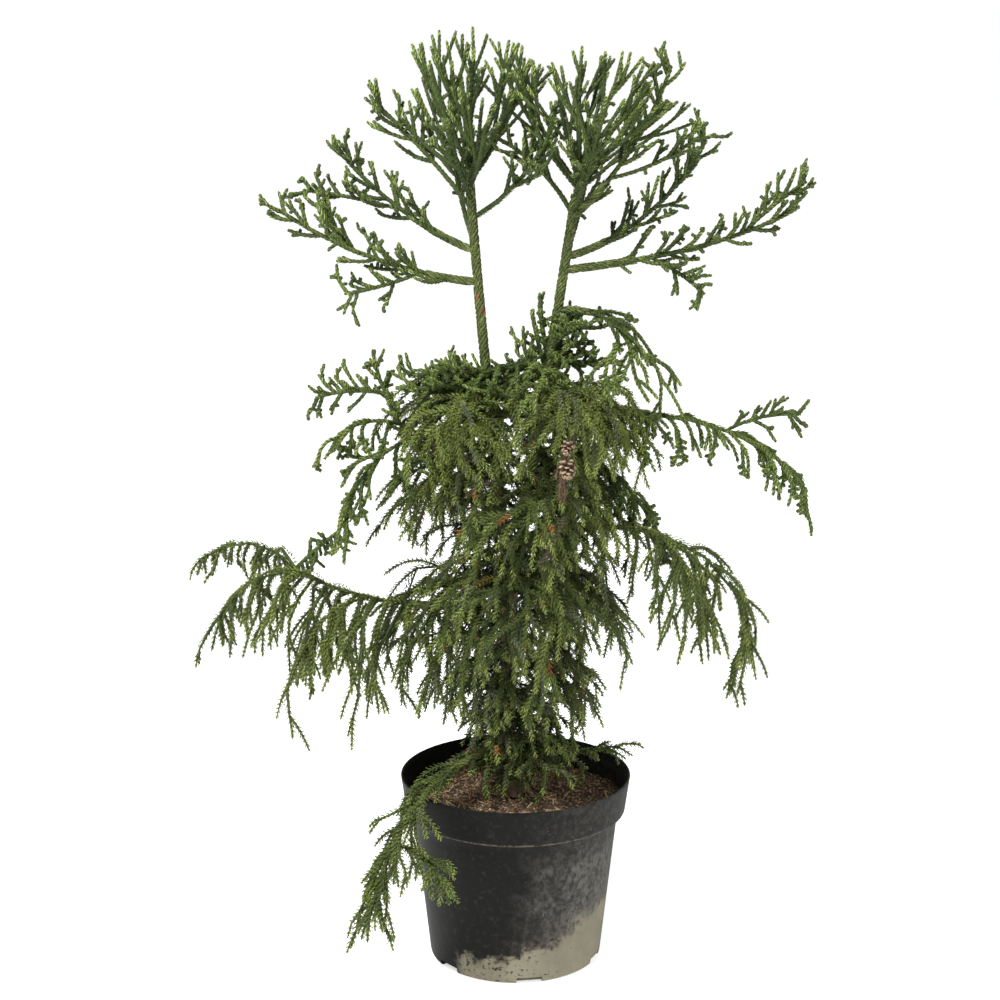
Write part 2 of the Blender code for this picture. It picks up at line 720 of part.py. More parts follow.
def needle(name, root, way, group):
    """A three-sided pyramid with its base sunk in the twig."""
    shape = bmesh.new()
    bmesh.ops.create_cone(
        shape, cap_ends=True, segments=3, radius1=NEEDLE_RADIUS, radius2=0, depth=NEEDLE_LENGTH
    )
    turn = Vector(way).to_track_quat("Z", "Y").to_matrix()
    for vert in shape.verts:
        vert.co = turn @ (vert.co + Vector((0, 0, NEEDLE_LENGTH / 2))) + Vector(root)
    mesh = bpy.data.meshes.new(name)
    shape.to_mesh(mesh)
    shape.free()
    return new_object(name, mesh, group)


def seed_cone(name, centre, size, group):
    """A woody cone: a small ball drawn out along its length."""
    shape = bmesh.new()
    bmesh.ops.create_uvsphere(
        shape, u_segments=CONE_SIDES, v_segments=CONE_RINGS, radius=size * CONE_RADIUS
    )
    for vert in shape.verts:
        vert.co.z *= CONE_LENGTH / (2 * CONE_RADIUS)
        vert.co += Vector(centre)
    mesh = bpy.data.meshes.new(name)
    shape.to_mesh(mesh)
    shape.free()
    return new_object(name, mesh, group)


def needle_spot(twig, index):
    """Root and way of the needle of a twig, on a side that turns from twig to twig."""
    root, ahead = at_share(twig, NEEDLE_SHARE)
    side, top = side_ways(ahead)
    roll = math.radians(index * GOLDEN_ANGLE)
    tilt = math.radians(NEEDLE_TILT)
    outward = math.cos(roll) * top + math.sin(roll) * side
    return root, math.cos(tilt) * ahead + math.sin(tilt) * outward


def stem_tube(stem, order):
    """Points and radii of a stem."""
    points = stretch(stem["path"], stem_shares(stem["begin"], order))
    points[0] += unit(points[1] - points[0]) * stem["gap"]
    return points, np.linspace(stem["root"], stem["tip"], len(points))


def add_cones(name, twig, owners, work, room):
    """The cones of a twig, where there is room for them."""
    cones = []
    for number, (share, size) in enumerate(CONES):
        centre = at_share(twig, share)[0]
        place = np.array([centre, centre + SEAT_GAP])
        girth = np.full(2, size * CONE_RADIUS)
        if room.free(place, girth, owners):
            cones.append(seed_cone(f"{name}_cone_{number}", centre, size, work))
            room.take(place, girth, name)
    return cones


def build_mass(name, stems, seed, group, work, section, room, cutter=None, cone_twig=None):
    """Stem, side stems, twigs, needles and cones of one mass, fused to one solid."""
    owners = {name, *(stem["family"] for stem in stems)}
    pieces = []
    for order, stem in enumerate(stems):
        points, radii = stem_tube(stem, order)
        stem["kept"] = order == 0 or room.free(points[1:], radii[1:], owners)
        if stem["kept"]:
            pieces.append(tube(f"{name}_stem_{order}", points, radii, work, section=section))
            room.take(points, radii, name)
    twig_count = 0
    for order, stem in enumerate(stems):
        if not stem["kept"]:
            continue
        habit = HABITS[stem["habit"]]
        begin = max(stem["begin"] + TWIGLESS[stem["habit"]], stem["first_twig"])
        for index, twig in enumerate(
            grow_twigs(stem["path"], stem["habit"], stem["reach"], begin, seed + order)
        ):
            radii = np.linspace(habit.root, habit.tip, len(twig))
            tested = np.interp(TWIG_TESTS, (0, 1), radii[[0, -1]])
            if not room.free(stretch(twig, TWIG_TESTS), tested, owners):
                continue
            pieces.append(tube(f"{name}_twig_{order}_{index}", twig, radii, work, section=section))
            room.take(twig, radii, name)
            if twig_count == cone_twig:
                pieces += add_cones(name, twig, owners, work, room)
            twig_count += 1
            root, way = needle_spot(twig, index)
            ends = np.array([root + 0.5 * NEEDLE_LENGTH * way, root + NEEDLE_LENGTH * way])
            wanted = index % NEEDLE_EVERY[stem["habit"]] == 0
            if wanted and room.free(ends, np.full(2, NEEDLE_RADIUS), owners):
                pieces.append(needle(f"{name}_needle_{order}_{index}", root, way, work))
                room.take(ends, np.full(2, NEEDLE_RADIUS), name)
    mass = fuse(name, pieces, group)
    if cutter is not None:
        cut(mass, cutter)
    finish(mass, "foliage")


def mass_name(limb_name):
    """Name of the mass on a limb."""
    return "foliage_" + limb_name.replace("leader_", "fan_")


def bough_stems(limb, paths):
    """The stem of a bough's mass, from its bare foot's tip, and the side stems on it."""
    path = paths[limb.name]
    begin_radius = (limb.thick + (limb.thin - limb.thick) * limb.bare) / 2
    habit = HABITS[limb.habit]
    gap = tip_gap(limb, path, begin_radius) if limb.bare else STEM_SINK
    stems = [dict(
        path=path, begin=limb.bare, gap=gap, root=begin_radius,
        tip=habit.tip, habit=limb.habit, reach=limb.reach, first_twig=BOUGH_FIRST_TWIG, family=limb.name,
    )]
    for arm in ARMS.get(limb.name, ()):
        start = at_share(path, arm.share)[0]
        arm_path = limb_path(start, arm.heading, arm.rise, 0, arm.lift, 1, arm.length)
        stems.append(dict(
            path=arm_path, begin=0.0, gap=0.0, root=HABITS[arm.habit].root,
            tip=HABITS[arm.habit].tip, habit=arm.habit, reach=arm.reach, first_twig=ARM_FIRST_TWIG,
            family=limb.name,
        ))
    return stems


def column_stems(height, heading, reach, twig_reach, paths):
    """A short arching stem with two side stems, on the trunk or the nearer leader."""
    parent = "trunk"
    if height > FORK_HEIGHT:
        parent = "leader_right" if math.cos(math.radians(heading)) > 0 else "leader_left"
    axis = paths[parent]
    share = float(np.interp(height, axis[:, 2], np.linspace(0, 1, len(axis))))
    start = at_share(axis, share)[0]
    main = limb_path(start, heading, TIER_RISE, 0, TIER_LIFT, 1, reach)
    side_start = at_share(main, TIER_ARM_SHARE)[0]
    routes = [main] + [
        limb_path(
            side_start, heading + turn, TIER_ARM_RISE * TIER_RISE, 0, TIER_ARM_LIFT * TIER_LIFT, 1,
            TIER_ARM_LENGTH * reach,
        )
        for turn in TIER_ARM_TURNS
    ]
    stems = [
        dict(
            path=route, begin=0.0, gap=STEM_SINK, root=COMB_RADIUS, tip=COMB_TIP_RADIUS, habit="hanging",
            reach=twig_reach, first_twig=TIER_FIRST_TWIG, family=parent,
        )
        for route in routes
    ]
    return parent, stems


def build_foliage(paths, cutter_of, parts, work, section, room):
    """Masses on the boughs and leaders, then the weeping tiers round the trunk."""
    stems_of = {limb.name: bough_stems(limb, paths) for limb in LIMBS if limb.parent is not None}
    for name, stems in stems_of.items():
        room.take(*stem_tube(stems[0], 0), mass_name(name))
    for order, limb in enumerate(LIMBS):
        if limb.parent is not None:
            cutter = None if limb.bare else cutter_of[limb.parent]
            build_mass(
                mass_name(limb.name), stems_of[limb.name], BOUGH_SEED + SEED_STEP * order, parts, work,
                section, room, cutter,
            )
    for level, (height, count, reach, first, twig_reach) in enumerate(TIERS):
        for index in range(count):
            heading = first + index * 360 / count
            level_height = height - TIER_STAGGER * (index % 2)
            for turn in TIER_TURNS:
                parent, stems = column_stems(level_height, heading + turn, reach, twig_reach, paths)
                points, radii = stem_tube(stems[0], 0)
                if room.free(points[1:], radii[1:], {parent}):
                    break
            name = f"column_{level + 1}_{index + 1}"
            build_mass(
                "foliage_" + name, stems, TIER_SEED + SEED_STEP * level + index, parts, work, section, room,
                cutter_of[parent], CONE_TWIG if name == CONE_MASS else None,
            )


def main():
    """Build every solid of the plant."""
    clear_scene()
    parts = make_collection("potted_spiral_cedar")
    cutters = make_collection("cutters")
    work = make_collection("work")
    section = triangle_profile(cutters)
    room = Room()
    build_pot(parts, cutters)
    build_soil(parts)
    paths = limb_paths()
    cutter_of = build_limbs(paths, parts, cutters, room)
    build_foliage(paths, cutter_of, parts, work, section, room)


main()
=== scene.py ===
"""Looks of the potted rasen-sugi cedar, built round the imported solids.

Metres, +Z up, the plant's front faces -Y. Limbs, twigs and their seeds follow the rule of
the solids, and finer shoots and needles are grown on them. Headings are degrees from +X,
anticlockwise seen from above, and a rise is the angle above the level.
"""

import json
import math
from collections import namedtuple

import bpy
import numpy as np
from bpy.props import FloatProperty, FloatVectorProperty, IntProperty, PointerProperty
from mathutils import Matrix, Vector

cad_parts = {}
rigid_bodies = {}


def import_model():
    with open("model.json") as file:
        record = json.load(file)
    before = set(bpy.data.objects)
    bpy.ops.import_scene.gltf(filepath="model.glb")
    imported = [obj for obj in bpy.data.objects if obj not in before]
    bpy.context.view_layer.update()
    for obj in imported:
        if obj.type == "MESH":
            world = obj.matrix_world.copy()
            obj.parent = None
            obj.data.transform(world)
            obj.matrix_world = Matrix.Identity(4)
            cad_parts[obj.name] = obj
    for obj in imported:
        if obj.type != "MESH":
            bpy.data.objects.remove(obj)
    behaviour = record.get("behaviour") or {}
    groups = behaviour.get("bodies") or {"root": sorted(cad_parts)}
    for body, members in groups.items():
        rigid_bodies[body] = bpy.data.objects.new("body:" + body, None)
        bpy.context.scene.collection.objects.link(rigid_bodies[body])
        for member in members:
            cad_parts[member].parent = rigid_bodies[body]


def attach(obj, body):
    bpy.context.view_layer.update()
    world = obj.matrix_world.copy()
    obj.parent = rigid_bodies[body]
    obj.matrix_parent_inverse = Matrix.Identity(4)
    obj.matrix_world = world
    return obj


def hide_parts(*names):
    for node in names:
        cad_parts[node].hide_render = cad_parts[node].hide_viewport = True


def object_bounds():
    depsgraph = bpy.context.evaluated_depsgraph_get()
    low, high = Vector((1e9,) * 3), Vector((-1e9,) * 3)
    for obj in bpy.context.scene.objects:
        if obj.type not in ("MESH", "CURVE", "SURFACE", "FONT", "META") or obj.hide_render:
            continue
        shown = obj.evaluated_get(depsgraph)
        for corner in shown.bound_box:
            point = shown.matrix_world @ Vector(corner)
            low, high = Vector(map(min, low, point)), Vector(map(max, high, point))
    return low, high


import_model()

bl_info = {
    "name": "Potted Spiral Cedar",
    "version": (1, 0, 0),
    "blender": (4, 5, 0),
    "location": "View3D > Sidebar > Cedar",
    "description": "Builds the bark, shoots, needles, cones, soil and pot of a potted spiral cedar",
    "category": "Add Mesh",
}

CAD_BOUNDS = [list(corner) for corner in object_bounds()]
BODY = "root"
UP = np.array([0.0, 0.0, 1.0])
GOLDEN_ANGLE = 137.5

# Pot and soil, as in the solids
POT_HEIGHT = 0.212
RIM_RADIUS = 0.129
BAND_HEIGHT = 0.040
BAND_FOOT_RADIUS = 0.1234
BODY_TOP_RADIUS = 0.1152
BASE_RADIUS = 0.0971
POT_WALL = 0.0022
POT_FLOOR = 0.0030
NOTCH_COUNT = 6
NOTCH_HEIGHT = 0.007
NOTCH_ANGLE = 17.0
NOTCH_FIRST = -81.0
SOIL_LEVEL = 0.187
SOIL_FALL = 0.005

# Trunk, as in the solids
TRUNK_FOOT_X = -0.006
TRUNK_LENGTH = 0.267
ROOT_FLARE = 0.60
ROOT_FLARE_HEIGHT = 0.014
FORK_SWELL = 0.0052
FORK_SWELL_HEIGHT = 0.016
LEADER_SPREAD = 0.0056
SEAT_GAP = 0.0003
PATH_PARTS = 32
FORK_HEIGHT = SOIL_LEVEL + TRUNK_LENGTH

Habit = namedtuple("Habit", "spacing opening rolls forward pull late taper")
HABITS = {
    "rising": Habit(0.026, 44, (-62, 58, -18, 24), 1.00, 0.62, 0.9, 0.5),
    "fan": Habit(0.0024, 56, None, 1.25, 0.80, 0.9, 0.0),
    "knobby": Habit(0.020, 58, (-70, 70, 170, 20), 0.90, 0.20, 1.0, 0.3),
    "hanging": Habit(0.029, 60, (-82, 82, -48, 62), 0.12, -1.0, 0.6, 0.2),
    "trailing": Habit(0.026, 40, (-86, 86), 0.90, -0.45, 0.8, 0.3),
}
CORD_HABITS = ("rising", "fan", "knobby")
# Habits of the thinner shoots between the source's twigs, where they hang more steeply
HABITS["weeping"] = Habit(0.029, 60, (-82, 82, -126, 130), 0.05, -1.0, 0.34, 0.2)
HABITS["draped"] = Habit(0.026, 36, (-86, 86, 34, -30), 0.50, -0.85, 0.60, 0.3)
FILL_HABITS = {
    "foliage_left_lower": "weeping", "foliage_right_lower": "weeping", "foliage_foot_left": "draped",
}

Limb = namedtuple(
    "Limb",
    "name parent along heading rise length turn lift late thick thin bare habit reach",
    defaults=(0, 0, 1, 0.0065, 0.0050, 0, "rising", 0.060),
)
Arm = namedtuple("Arm", "share heading rise length lift habit reach", defaults=(0, "rising", 0.05))

LIMBS = (
    Limb("trunk", None, 0, 0, 93, TRUNK_LENGTH, lift=-7, thick=0.0170, thin=0.0145, bare=1),
    Limb("leader_left", "trunk", TRUNK_LENGTH, 172, 83, 0.442, lift=3, thick=0.0105, thin=0.0080,
         bare=0.93, habit="fan", reach=0.129),
    Limb("leader_right", "trunk", TRUNK_LENGTH, -8, 81.4, 0.434, thick=0.0105, thin=0.0080,
         bare=0.93, habit="fan", reach=0.140),
    Limb("left_low", "leader_left", 0.312, 184, 6, 0.230, turn=-10, lift=28, thick=0.0072, bare=0.22),
    Limb("left_high", "leader_left", 0.345, 164, 20, 0.185, turn=10, lift=30, bare=0.25),
    Limb("left_inner", "leader_left", 0.380, -34, 26, 0.150, turn=14, lift=42, reach=0.050),
    Limb("left_outer", "leader_left", 0.390, 168, 52, 0.150, turn=10, lift=-10, reach=0.070),
    Limb("left_front", "leader_left", 0.400, 252, 36, 0.105, lift=24),
    Limb("left_back", "leader_left", 0.352, 108, 36, 0.165, lift=34, reach=0.065),
    Limb("right_low", "leader_right", 0.328, -6, 8, 0.258, turn=6, lift=22, late=2, thick=0.0072,
         bare=0.28, reach=0.050),
    Limb("right_middle", "leader_right", 0.342, 14, 14, 0.200, turn=-14, lift=50, bare=0.22),
    Limb("right_high", "leader_right", 0.384, -4, 42, 0.190, turn=8, lift=30, bare=0.25),
    Limb("right_inner", "leader_right", 0.388, 150, 58, 0.110, turn=10, lift=-30, reach=0.055),
    Limb("right_front", "leader_right", 0.390, -72, 38, 0.110, lift=24),
    Limb("right_back", "leader_right", 0.345, 72, 34, 0.175, lift=34, reach=0.065),
    Limb("middle_sprigs", "leader_right", 0.200, 200, 48, 0.060, lift=30, thick=0.0060, reach=0.040),
    Limb("left_upper", "leader_left", 0.055, 188, 26, 0.232, turn=-12, lift=52, thin=0.0045,
         bare=0.55, reach=0.034),
    Limb("left_lower", "trunk", 0.222, 184, -5, 0.252, turn=-6, lift=34, late=1.3, thick=0.0080,
         bare=0.45, habit="hanging", reach=0.215),
    Limb("right_upper", "leader_right", 0.284, -12, 10, 0.124, lift=-80, thin=0.0045, bare=0.25,
         habit="hanging", reach=0.095),
    Limb("right_mid", "leader_right", 0.172, 4, 1, 0.318, turn=-8, lift=-58, late=2.2, thick=0.0070,
         thin=0.0045, bare=0.35, habit="hanging", reach=0.070),
    Limb("right_droop", "leader_right", 0.130, 10, 0, 0.160, lift=-65, thin=0.0045, bare=0.3,
         habit="hanging", reach=0.070),
    Limb("right_lower", "leader_right", 0.020, -16, 26, 0.330, turn=8, lift=-114, late=1.4,
         thick=0.0075, thin=0.0045, bare=0.3, habit="hanging", reach=0.105),
    Limb("back_upper", "leader_left", 0.175, 98, 14, 0.190, lift=-62, late=1.2, thin=0.0045, bare=0.35,
         habit="hanging", reach=0.095),
    Limb("back_lower", "trunk", 0.240, 74, 8, 0.240, turn=10, lift=-78, late=1.2, thick=0.0075,
         thin=0.0045, bare=0.35, habit="hanging", reach=0.105),
    Limb("foot_left", "trunk", 0.055, 222, 6, 0.262, turn=6, lift=-82, late=1.1, thin=0.0045, bare=0.56,
         habit="trailing", reach=0.085),
    Limb("foot_right", "trunk", 0.034, -4, 12, 0.130, lift=-2, thick=0.0060, thin=0.0045,
         habit="trailing", reach=0.040),
    Limb("foot_back", "trunk", 0.044, 104, 14, 0.100, lift=-14, thick=0.0060, thin=0.0045,
         habit="trailing", reach=0.045),
    Limb("foot_front", "trunk", 0.052, -58, 14, 0.085, lift=-30, thick=0.0060, thin=0.0045,
         habit="trailing", reach=0.050),
)
ARMS = {
    "left_low": (Arm(0.27, 186, -22, 0.085, 14, "knobby", 0.034), Arm(0.62, 182, 62, 0.060, -16)),
    "left_high": (Arm(0.50, 177, 16, 0.108, -10, "rising", 0.038),),
    "left_inner": (Arm(0.45, -58, 10, 0.050, 10, "rising", 0.040),),
    "right_low": (Arm(0.75, 4, 46, 0.085, -14), Arm(0.36, -12, -22, 0.070, -22, "knobby", 0.034)),
    "right_high": (Arm(0.30, 0, 12, 0.104, 26),),
    "middle_sprigs": (
        Arm(0.50, 190, 16, 0.075, -70, "hanging", 0.055),
        Arm(0.50, 285, 20, 0.065, -60, "hanging", 0.055),
    ),
    "left_upper": (
        Arm(0.82, 182, 12, 0.076, -30, "knobby", 0.034),
        Arm(0.66, 186, 22, 0.080, -70, "hanging", 0.055),
        Arm(0.58, 192, -20, 0.115, -60, "hanging", 0.065),
    ),
    "left_lower": (
        Arm(0.96, 176, 58, 0.125, -108, "hanging", 0.055),
        Arm(0.96, 192, 6, 0.110, -76, "hanging", 0.080),
        Arm(0.62, 206, 4, 0.105, -82, "hanging", 0.120),
        Arm(0.97, 10, 45, 0.065, -10, "knobby", 0.025),
    ),
    "right_upper": (Arm(0.32, -60, 6, 0.070, -84, "hanging", 0.070),),
    "right_mid": (Arm(0.64, 6, 28, 0.085, -34, "knobby", 0.030),),
    "right_lower": (Arm(0.42, -52, 10, 0.120, -90, "hanging", 0.110),),
}
# One more arm that only the needles and their stems show
LATE_ARMS = {"foot_left": (Arm(0.74, 330, 2, 0.074, -64, "trailing", 0.048),)}
TIERS = (
    (0.648, 4, 0.085, 295, 0.105),
    (0.560, 3, 0.090, 160, 0.115),
    (0.440, 3, 0.105, 40, 0.135),
    (0.335, 3, 0.090, 100, 0.100),
)
TIER_RISE = 26
TIER_LIFT = -84
TIER_STAGGER = 0.012
TIER_ARM_TURNS = (32, -32)
TIER_ARM_SHARE = 0.30
TIER_ARM_LENGTH = 0.75
TWIGLESS = {"rising": 0.06, "fan": 0.016, "knobby": 0.06, "hanging": 0.06, "trailing": 0.06}

# Finer shoots: metres of parent for each, opening angle, how much a shoot keeps its first
# way against the pull, how late it bends, length as a share of the parent's, least length,
# how far its tip curls back, the stretch of the parent that carries them, and whether the
# share is one of what is left of the parent, so that both ends of a fork reach as far
Finer = namedtuple(
    "Finer", "spacing opening forward pull late share least curl low high rest",
    defaults=(0.0, 0.16, 0.90, False),
)
FAN_FORKS = Finer(0.032, 25, 1.0, 0.30, 0.8, 1.08, 0.016, 0.0, 0.28, 0.82, True)
FAN_TWINS = Finer(0.032, 24, 1.0, 0.26, 0.8, 1.06, 0.014, 0.0, 0.25, 0.85, True)
CORD_FORKS = Finer(0.022, 33, 1.0, 0.24, 0.9, 0.90, 0.016, 0.0, 0.22, 0.88, True)
CORD_TWINS = Finer(0.034, 30, 1.0, 0.20, 0.9, 0.90, 0.012, 0.0, 0.26, 0.86, True)
CORD_HOOKS = Finer(0.045, 50, 1.0, 0.10, 1.0, 0.10, 0.0080, 1.0)
CORD_KNOBS = Finer(0.0075, 46, 0.9, 0.10, 1.0, 0.05, 0.0070, 0.8, 0.55, 0.97)
DROOP_FORKS = Finer(0.034, 36, 0.85, -0.60, 0.8, 0.50, 0.020)
DROOP_KNOBS = Finer(0.0028, 50, 0.9, -0.10, 1.0, 0.05, 0.0072, 0.6, 0.62, 0.99)
COMB_FORKS = Finer(0.032, 36, 0.55, -0.70, 0.7, 0.46, 0.020)
FILL_SPACING = {"rising": 0.016, "fan": 0.0056, "knobby": 0.010, "hanging": 0.0175, "trailing": 0.014}
FILL_BEGIN = {"rising": 0.10, "fan": 0.93, "knobby": 0.05, "hanging": 0.10, "trailing": 0.05}
# Boughs among the fans, and the share of their stems that is open to the sky
OPEN_FEET = {
    "foliage_left_front": 0.36, "foliage_left_back": 0.36, "foliage_left_inner": 0.30,
    "foliage_left_outer": 0.36, "foliage_right_front": 0.36, "foliage_right_back": 0.36,
    "foliage_right_inner": 0.40, "foliage_right_high": 0.36,
}
# How many more of these shoots some masses carry, and how much shorter theirs are
FILL_MORE = {
    "foliage_left_lower": 2.0, "foliage_right_mid": 1.0, "foliage_right_upper": 0.5,
    "foliage_left_upper": 1.5, "foliage_foot_left": 1.7,
}
FILL_REACH = {"foliage_left_lower": 0.62}
# Shoots between the source's twigs bend late in the tiers, and all weeping ones stray aside
COLUMN_LATE = 1.15
# Rolls of these shoots round a rising stem, from its upper side
RISING_ROLLS = (-104, 96, -36, 138, 30, -150)
STRAY = {"foliage_left_lower": 0.12, "foliage_right_lower": 0.18, "foliage_right_mid": 0.20}
STRAY_ELSEWHERE = 0.30
SWAY = {"hanging": 0.055, "trailing": 0.055, "rising": 0.020, "fan": 0.015, "knobby": 0.030}
# Corded shoots that end below this height end in knobs more often
KNOB_HEIGHT = 0.88
# Masses high on the plant whose hanging shoots are cords too
DROOPING = ("right_upper", "right_mid", "right_droop", "left_upper", "middle_sprigs", "back_upper")
# Short shoots on the bare feet of some boughs: metres of foot for each, habit and reach
FEET = {
    "foot_left": (0.013, "trailing", 0.034), "left_lower": (0.018, "hanging", 0.052),
    "right_lower": (0.008, "hanging", 0.066), "right_mid": (0.015, "hanging", 0.045),
    "left_upper": (0.013, "knobby", 0.040), "back_lower": (0.016, "hanging", 0.055),
    "back_upper": (0.016, "hanging", 0.050),
}
# Short stems between the tiers: count, lowest and highest start, reach and twig reach
BETWEEN = (66, 0.216, 0.650, 0.074, 0.080)
# Between the soil and this height above it these twigs are shorter
LOW_REACH = 0.07
# Below this height the tiers' shoots keep to a narrower skirt: its middle, its half width
# at the lower height and how much that grows for each metre
SKIRT = (0.34, 0.28, 0.012, 0.095, 0.50)
# Short stems on the front, before the fork and the leaders and before the trunk's foot: seed,
# count, lowest and highest start, reach and twig reach
FRONTS = ((760, 21, 0.44, 0.656, 0.044, 0.060), (740, 11, 0.222, 0.330, 0.048, 0.062))
# Knobby stems round the leaders above the tiers: parent, count, lowest and highest start,
# middle heading and how far the headings spread to each side of it
CROWN = (
    ("leader_left", 9, 0.600, 0.655, 0, 180), ("leader_right", 10, 0.605, 0.668, 0, 180),
    ("leader_right", 13, 0.655, 0.714, 10, 62),
)
CROWN_REACH = 0.046
# Painted light: shoots near this height on the plant's front are lighter, by a share that fades over the span
PAINTED_LIGHT_HEIGHT = 0.668
PAINTED_LIGHT_SPAN = 0.100
PAINTED_LIGHT_FRONT = 0.030
# Single shoots round the leaders: parent, height of the start, heading, rise, turn, lift,
# length, habit and twig reach
SPRIGS = (
    ("leader_right", 0.664, 196, 72, 0, 8, 0.074, "knobby", 0.008),
    ("leader_right", 0.672, 186, 79, 0, 8, 0.082, "knobby", 0.007),
    ("leader_right", 0.682, 176, 72, 0, 14, 0.062, "knobby", 0.008),
    ("leader_right", 0.655, 182, 66, 0, -150, 0.084, "knobby", 0.018),
    ("leader_left", 0.652, 184, 26, 0, -38, 0.088, "knobby", 0.026),
    ("leader_left", 0.644, 196, 20, 0, -34, 0.094, "knobby", 0.028),
    ("leader_left", 0.638, 172, 16, 0, -30, 0.080, "knobby", 0.026),
    ("leader_left", 0.660, 206, 34, 0, -50, 0.070, "knobby", 0.022),
    ("leader_right", 0.640, -20, 10, 0, -26, 0.062, "knobby", 0.024),
    ("leader_right", 0.628, -36, 16, 0, -44, 0.070, "knobby", 0.024),
)
# Tiers that the solids turn by some degrees to keep clear of their neighbours
TIER_TURNS = {"foliage_column_1_1": 14, "foliage_column_1_4": 28}
# Above this height the outer weeping shoots hold their needles closer
CLOSE_HEIGHT = 0.30
CLOSE_RADIUS = 0.11
# Dead and rusty stretches of needles lie within this distance of the axis
SPOT_RADIUS = 0.12

# Cones, as in the solids: the mass and twig that carry them, and for each its share of the
# twig, metres to the side and size
CONE_MASS = "foliage_column_1_1"
CONE_TWIG = 1
CONE_TWIG_PARTS = 3
CONE_RADIUS = 0.0095
CONE_SCALES = 26
CONES = ((0.50, -0.001, 0.80), (0.73, 0.004, 1.0))
# Dead shoots that hang beside the cones: share of the twig, heading, rise and length
DEAD_SHOOTS = ((0.55, 200, -50, 0.030), (0.70, 235, -60, 0.034), (0.80, 300, -72, 0.030), (0.88, 250, -80, 0.024))
# Way from a cone towards the light, and how far shoots keep from that line
CONE_VIEW = np.array([-0.03, -0.979, 0.20])
CONE_CLEAR = 0.0085

# A needle's sections: metres along the shoot, metres out from its surface, degrees round
# it, half width and height of the ridge. The last one is the point, or an edge if it has a
# height. The ridge rises at right angles to the needle, which leaves the shoot at an angle.
Section = namedtuple("Section", "along out wrap half keel", defaults=(0.0, 0.0))
CORD_NEEDLE = (
    Section(0.0, -0.0005, 0, 0.0010, 0.0005),
    Section(0.0046, 0.0003, 34, 0.0, 0.00035),
)
DROOP_NEEDLE = (
    Section(0.0, -0.0006, 0, 0.0011, 0.0007),
    Section(0.0050, 0.0007, 32, 0.0, 0.00045),
)
COMB_NEEDLE = (
    Section(0.0, -0.0004, 0, 0.0010, 0.0009),
    Section(0.0031, 0.0025, 12, 0.0, 0.00075),
)
# Rings of a shoot's core, as shares of its length, and how much smaller the last one is
CORE_SHARES = (0.0, 0.25, 0.5, 0.75, 0.94, 1.0)
TIP_SIZE = 0.55
# Fresh tips take no more than this share of a shoot
FRESH_SHARE = 0.45
# Masses whose weeping shoots are ropes under short teeth
ROPES = ("foliage_left_lower", "foliage_right_lower", "foliage_foot_left")
CORD_LEAN = 7
DROOP_LEAN = 15
COMB_LEAN = 42
LIMB_NEEDLE = (
    Section(0.0, -0.0010, 0, 0.0012, 0.0007),
    Section(0.0030, 0.0000, 21, 0.0015, 0.0012),
    Section(0.0062, 0.0002, 43, 0.0013, 0.0011),
    Section(0.0092, 0.0010, 63),
)
# Needles stand in five ranks that wind round the shoot: degrees between two needles in a
# row, and the turn of the ranks in degrees for each metre
RANK_ANGLE = 144.0
CORD_TWIST = 7500
DROOP_TWIST = 6000
COMB_TWIST = 2600
LIMB_TWIST = 6900


# Needle colours, from the inside of the plant outwards, and last that of fresh tips; the darker inner ones stand for
# painted shade inside the plant
CORD_TONES = (
    ("deep", (0.016, 0.027, 0.004)), ("dark", (0.033, 0.052, 0.007)),
    ("middle", (0.061, 0.090, 0.013)), ("light", (0.112, 0.150, 0.026)),
    ("fresh", (0.215, 0.272, 0.068)),
)
DROOP_TONES = (
    ("deep", (0.022, 0.038, 0.006)), ("dark", (0.048, 0.074, 0.011)),
    ("middle", (0.090, 0.130, 0.021)), ("light", (0.156, 0.206, 0.040)),
    ("fresh", (0.225, 0.284, 0.076)),
)
COMB_TONES = (
    ("deep", (0.018, 0.028, 0.006)), ("dark", (0.046, 0.066, 0.012)),
    ("middle", (0.088, 0.118, 0.019)), ("light", (0.155, 0.194, 0.034)),
    ("fresh", (0.208, 0.252, 0.058)),
)
# Stretches of other colour: name, colour, chance for a shoot and share of its length
COMB_SPOTS = (
    ("grey", (0.115, 0.130, 0.070), 0.10, 0.60), ("dead", (0.125, 0.088, 0.055), 0.030, 0.70),
    ("rusty", (0.300, 0.095, 0.018), 0.028, 0.15), ("straw", (0.260, 0.190, 0.040), 0.020, 0.18),
)


# Settings


def length(name, description, default):
    """A length property in metres."""
    return FloatProperty(name=name, description=description, default=default, min=0.0, unit="LENGTH", precision=5)


def colour(name, description, default):
    """A linear colour property."""
    return FloatVectorProperty(
        name=name, description=description, default=default, size=3, min=0.0, max=1.0, subtype="COLOR"
    )


class CEDAR_PG_pot(bpy.types.PropertyGroup):
    """Pot and soil."""

    segments: IntProperty(name="Segments", description="Steps round the pot", default=192, min=12)
    plastic: colour("Plastic", "Colour of the black plastic", (0.0034, 0.0034, 0.0027))
    bloom: colour("Bloom", "Colour of the dusty bloom", (0.098, 0.094, 0.084))
    lime: colour("Lime mark", "Colour of the pale lime mark low on the front", (0.203, 0.186, 0.131))
    soil: colour("Soil", "Colour of the dark peat", (0.052, 0.034, 0.020))
    crumb: colour("Bark crumbs", "Colour of the bark crumbs", (0.270, 0.160, 0.085))
    straw: colour("Straw", "Colour of the straw bits", (0.52, 0.40, 0.21))
    crumbs: IntProperty(name="Crumbs", description="Bark crumbs on the soil", default=2600, min=0)


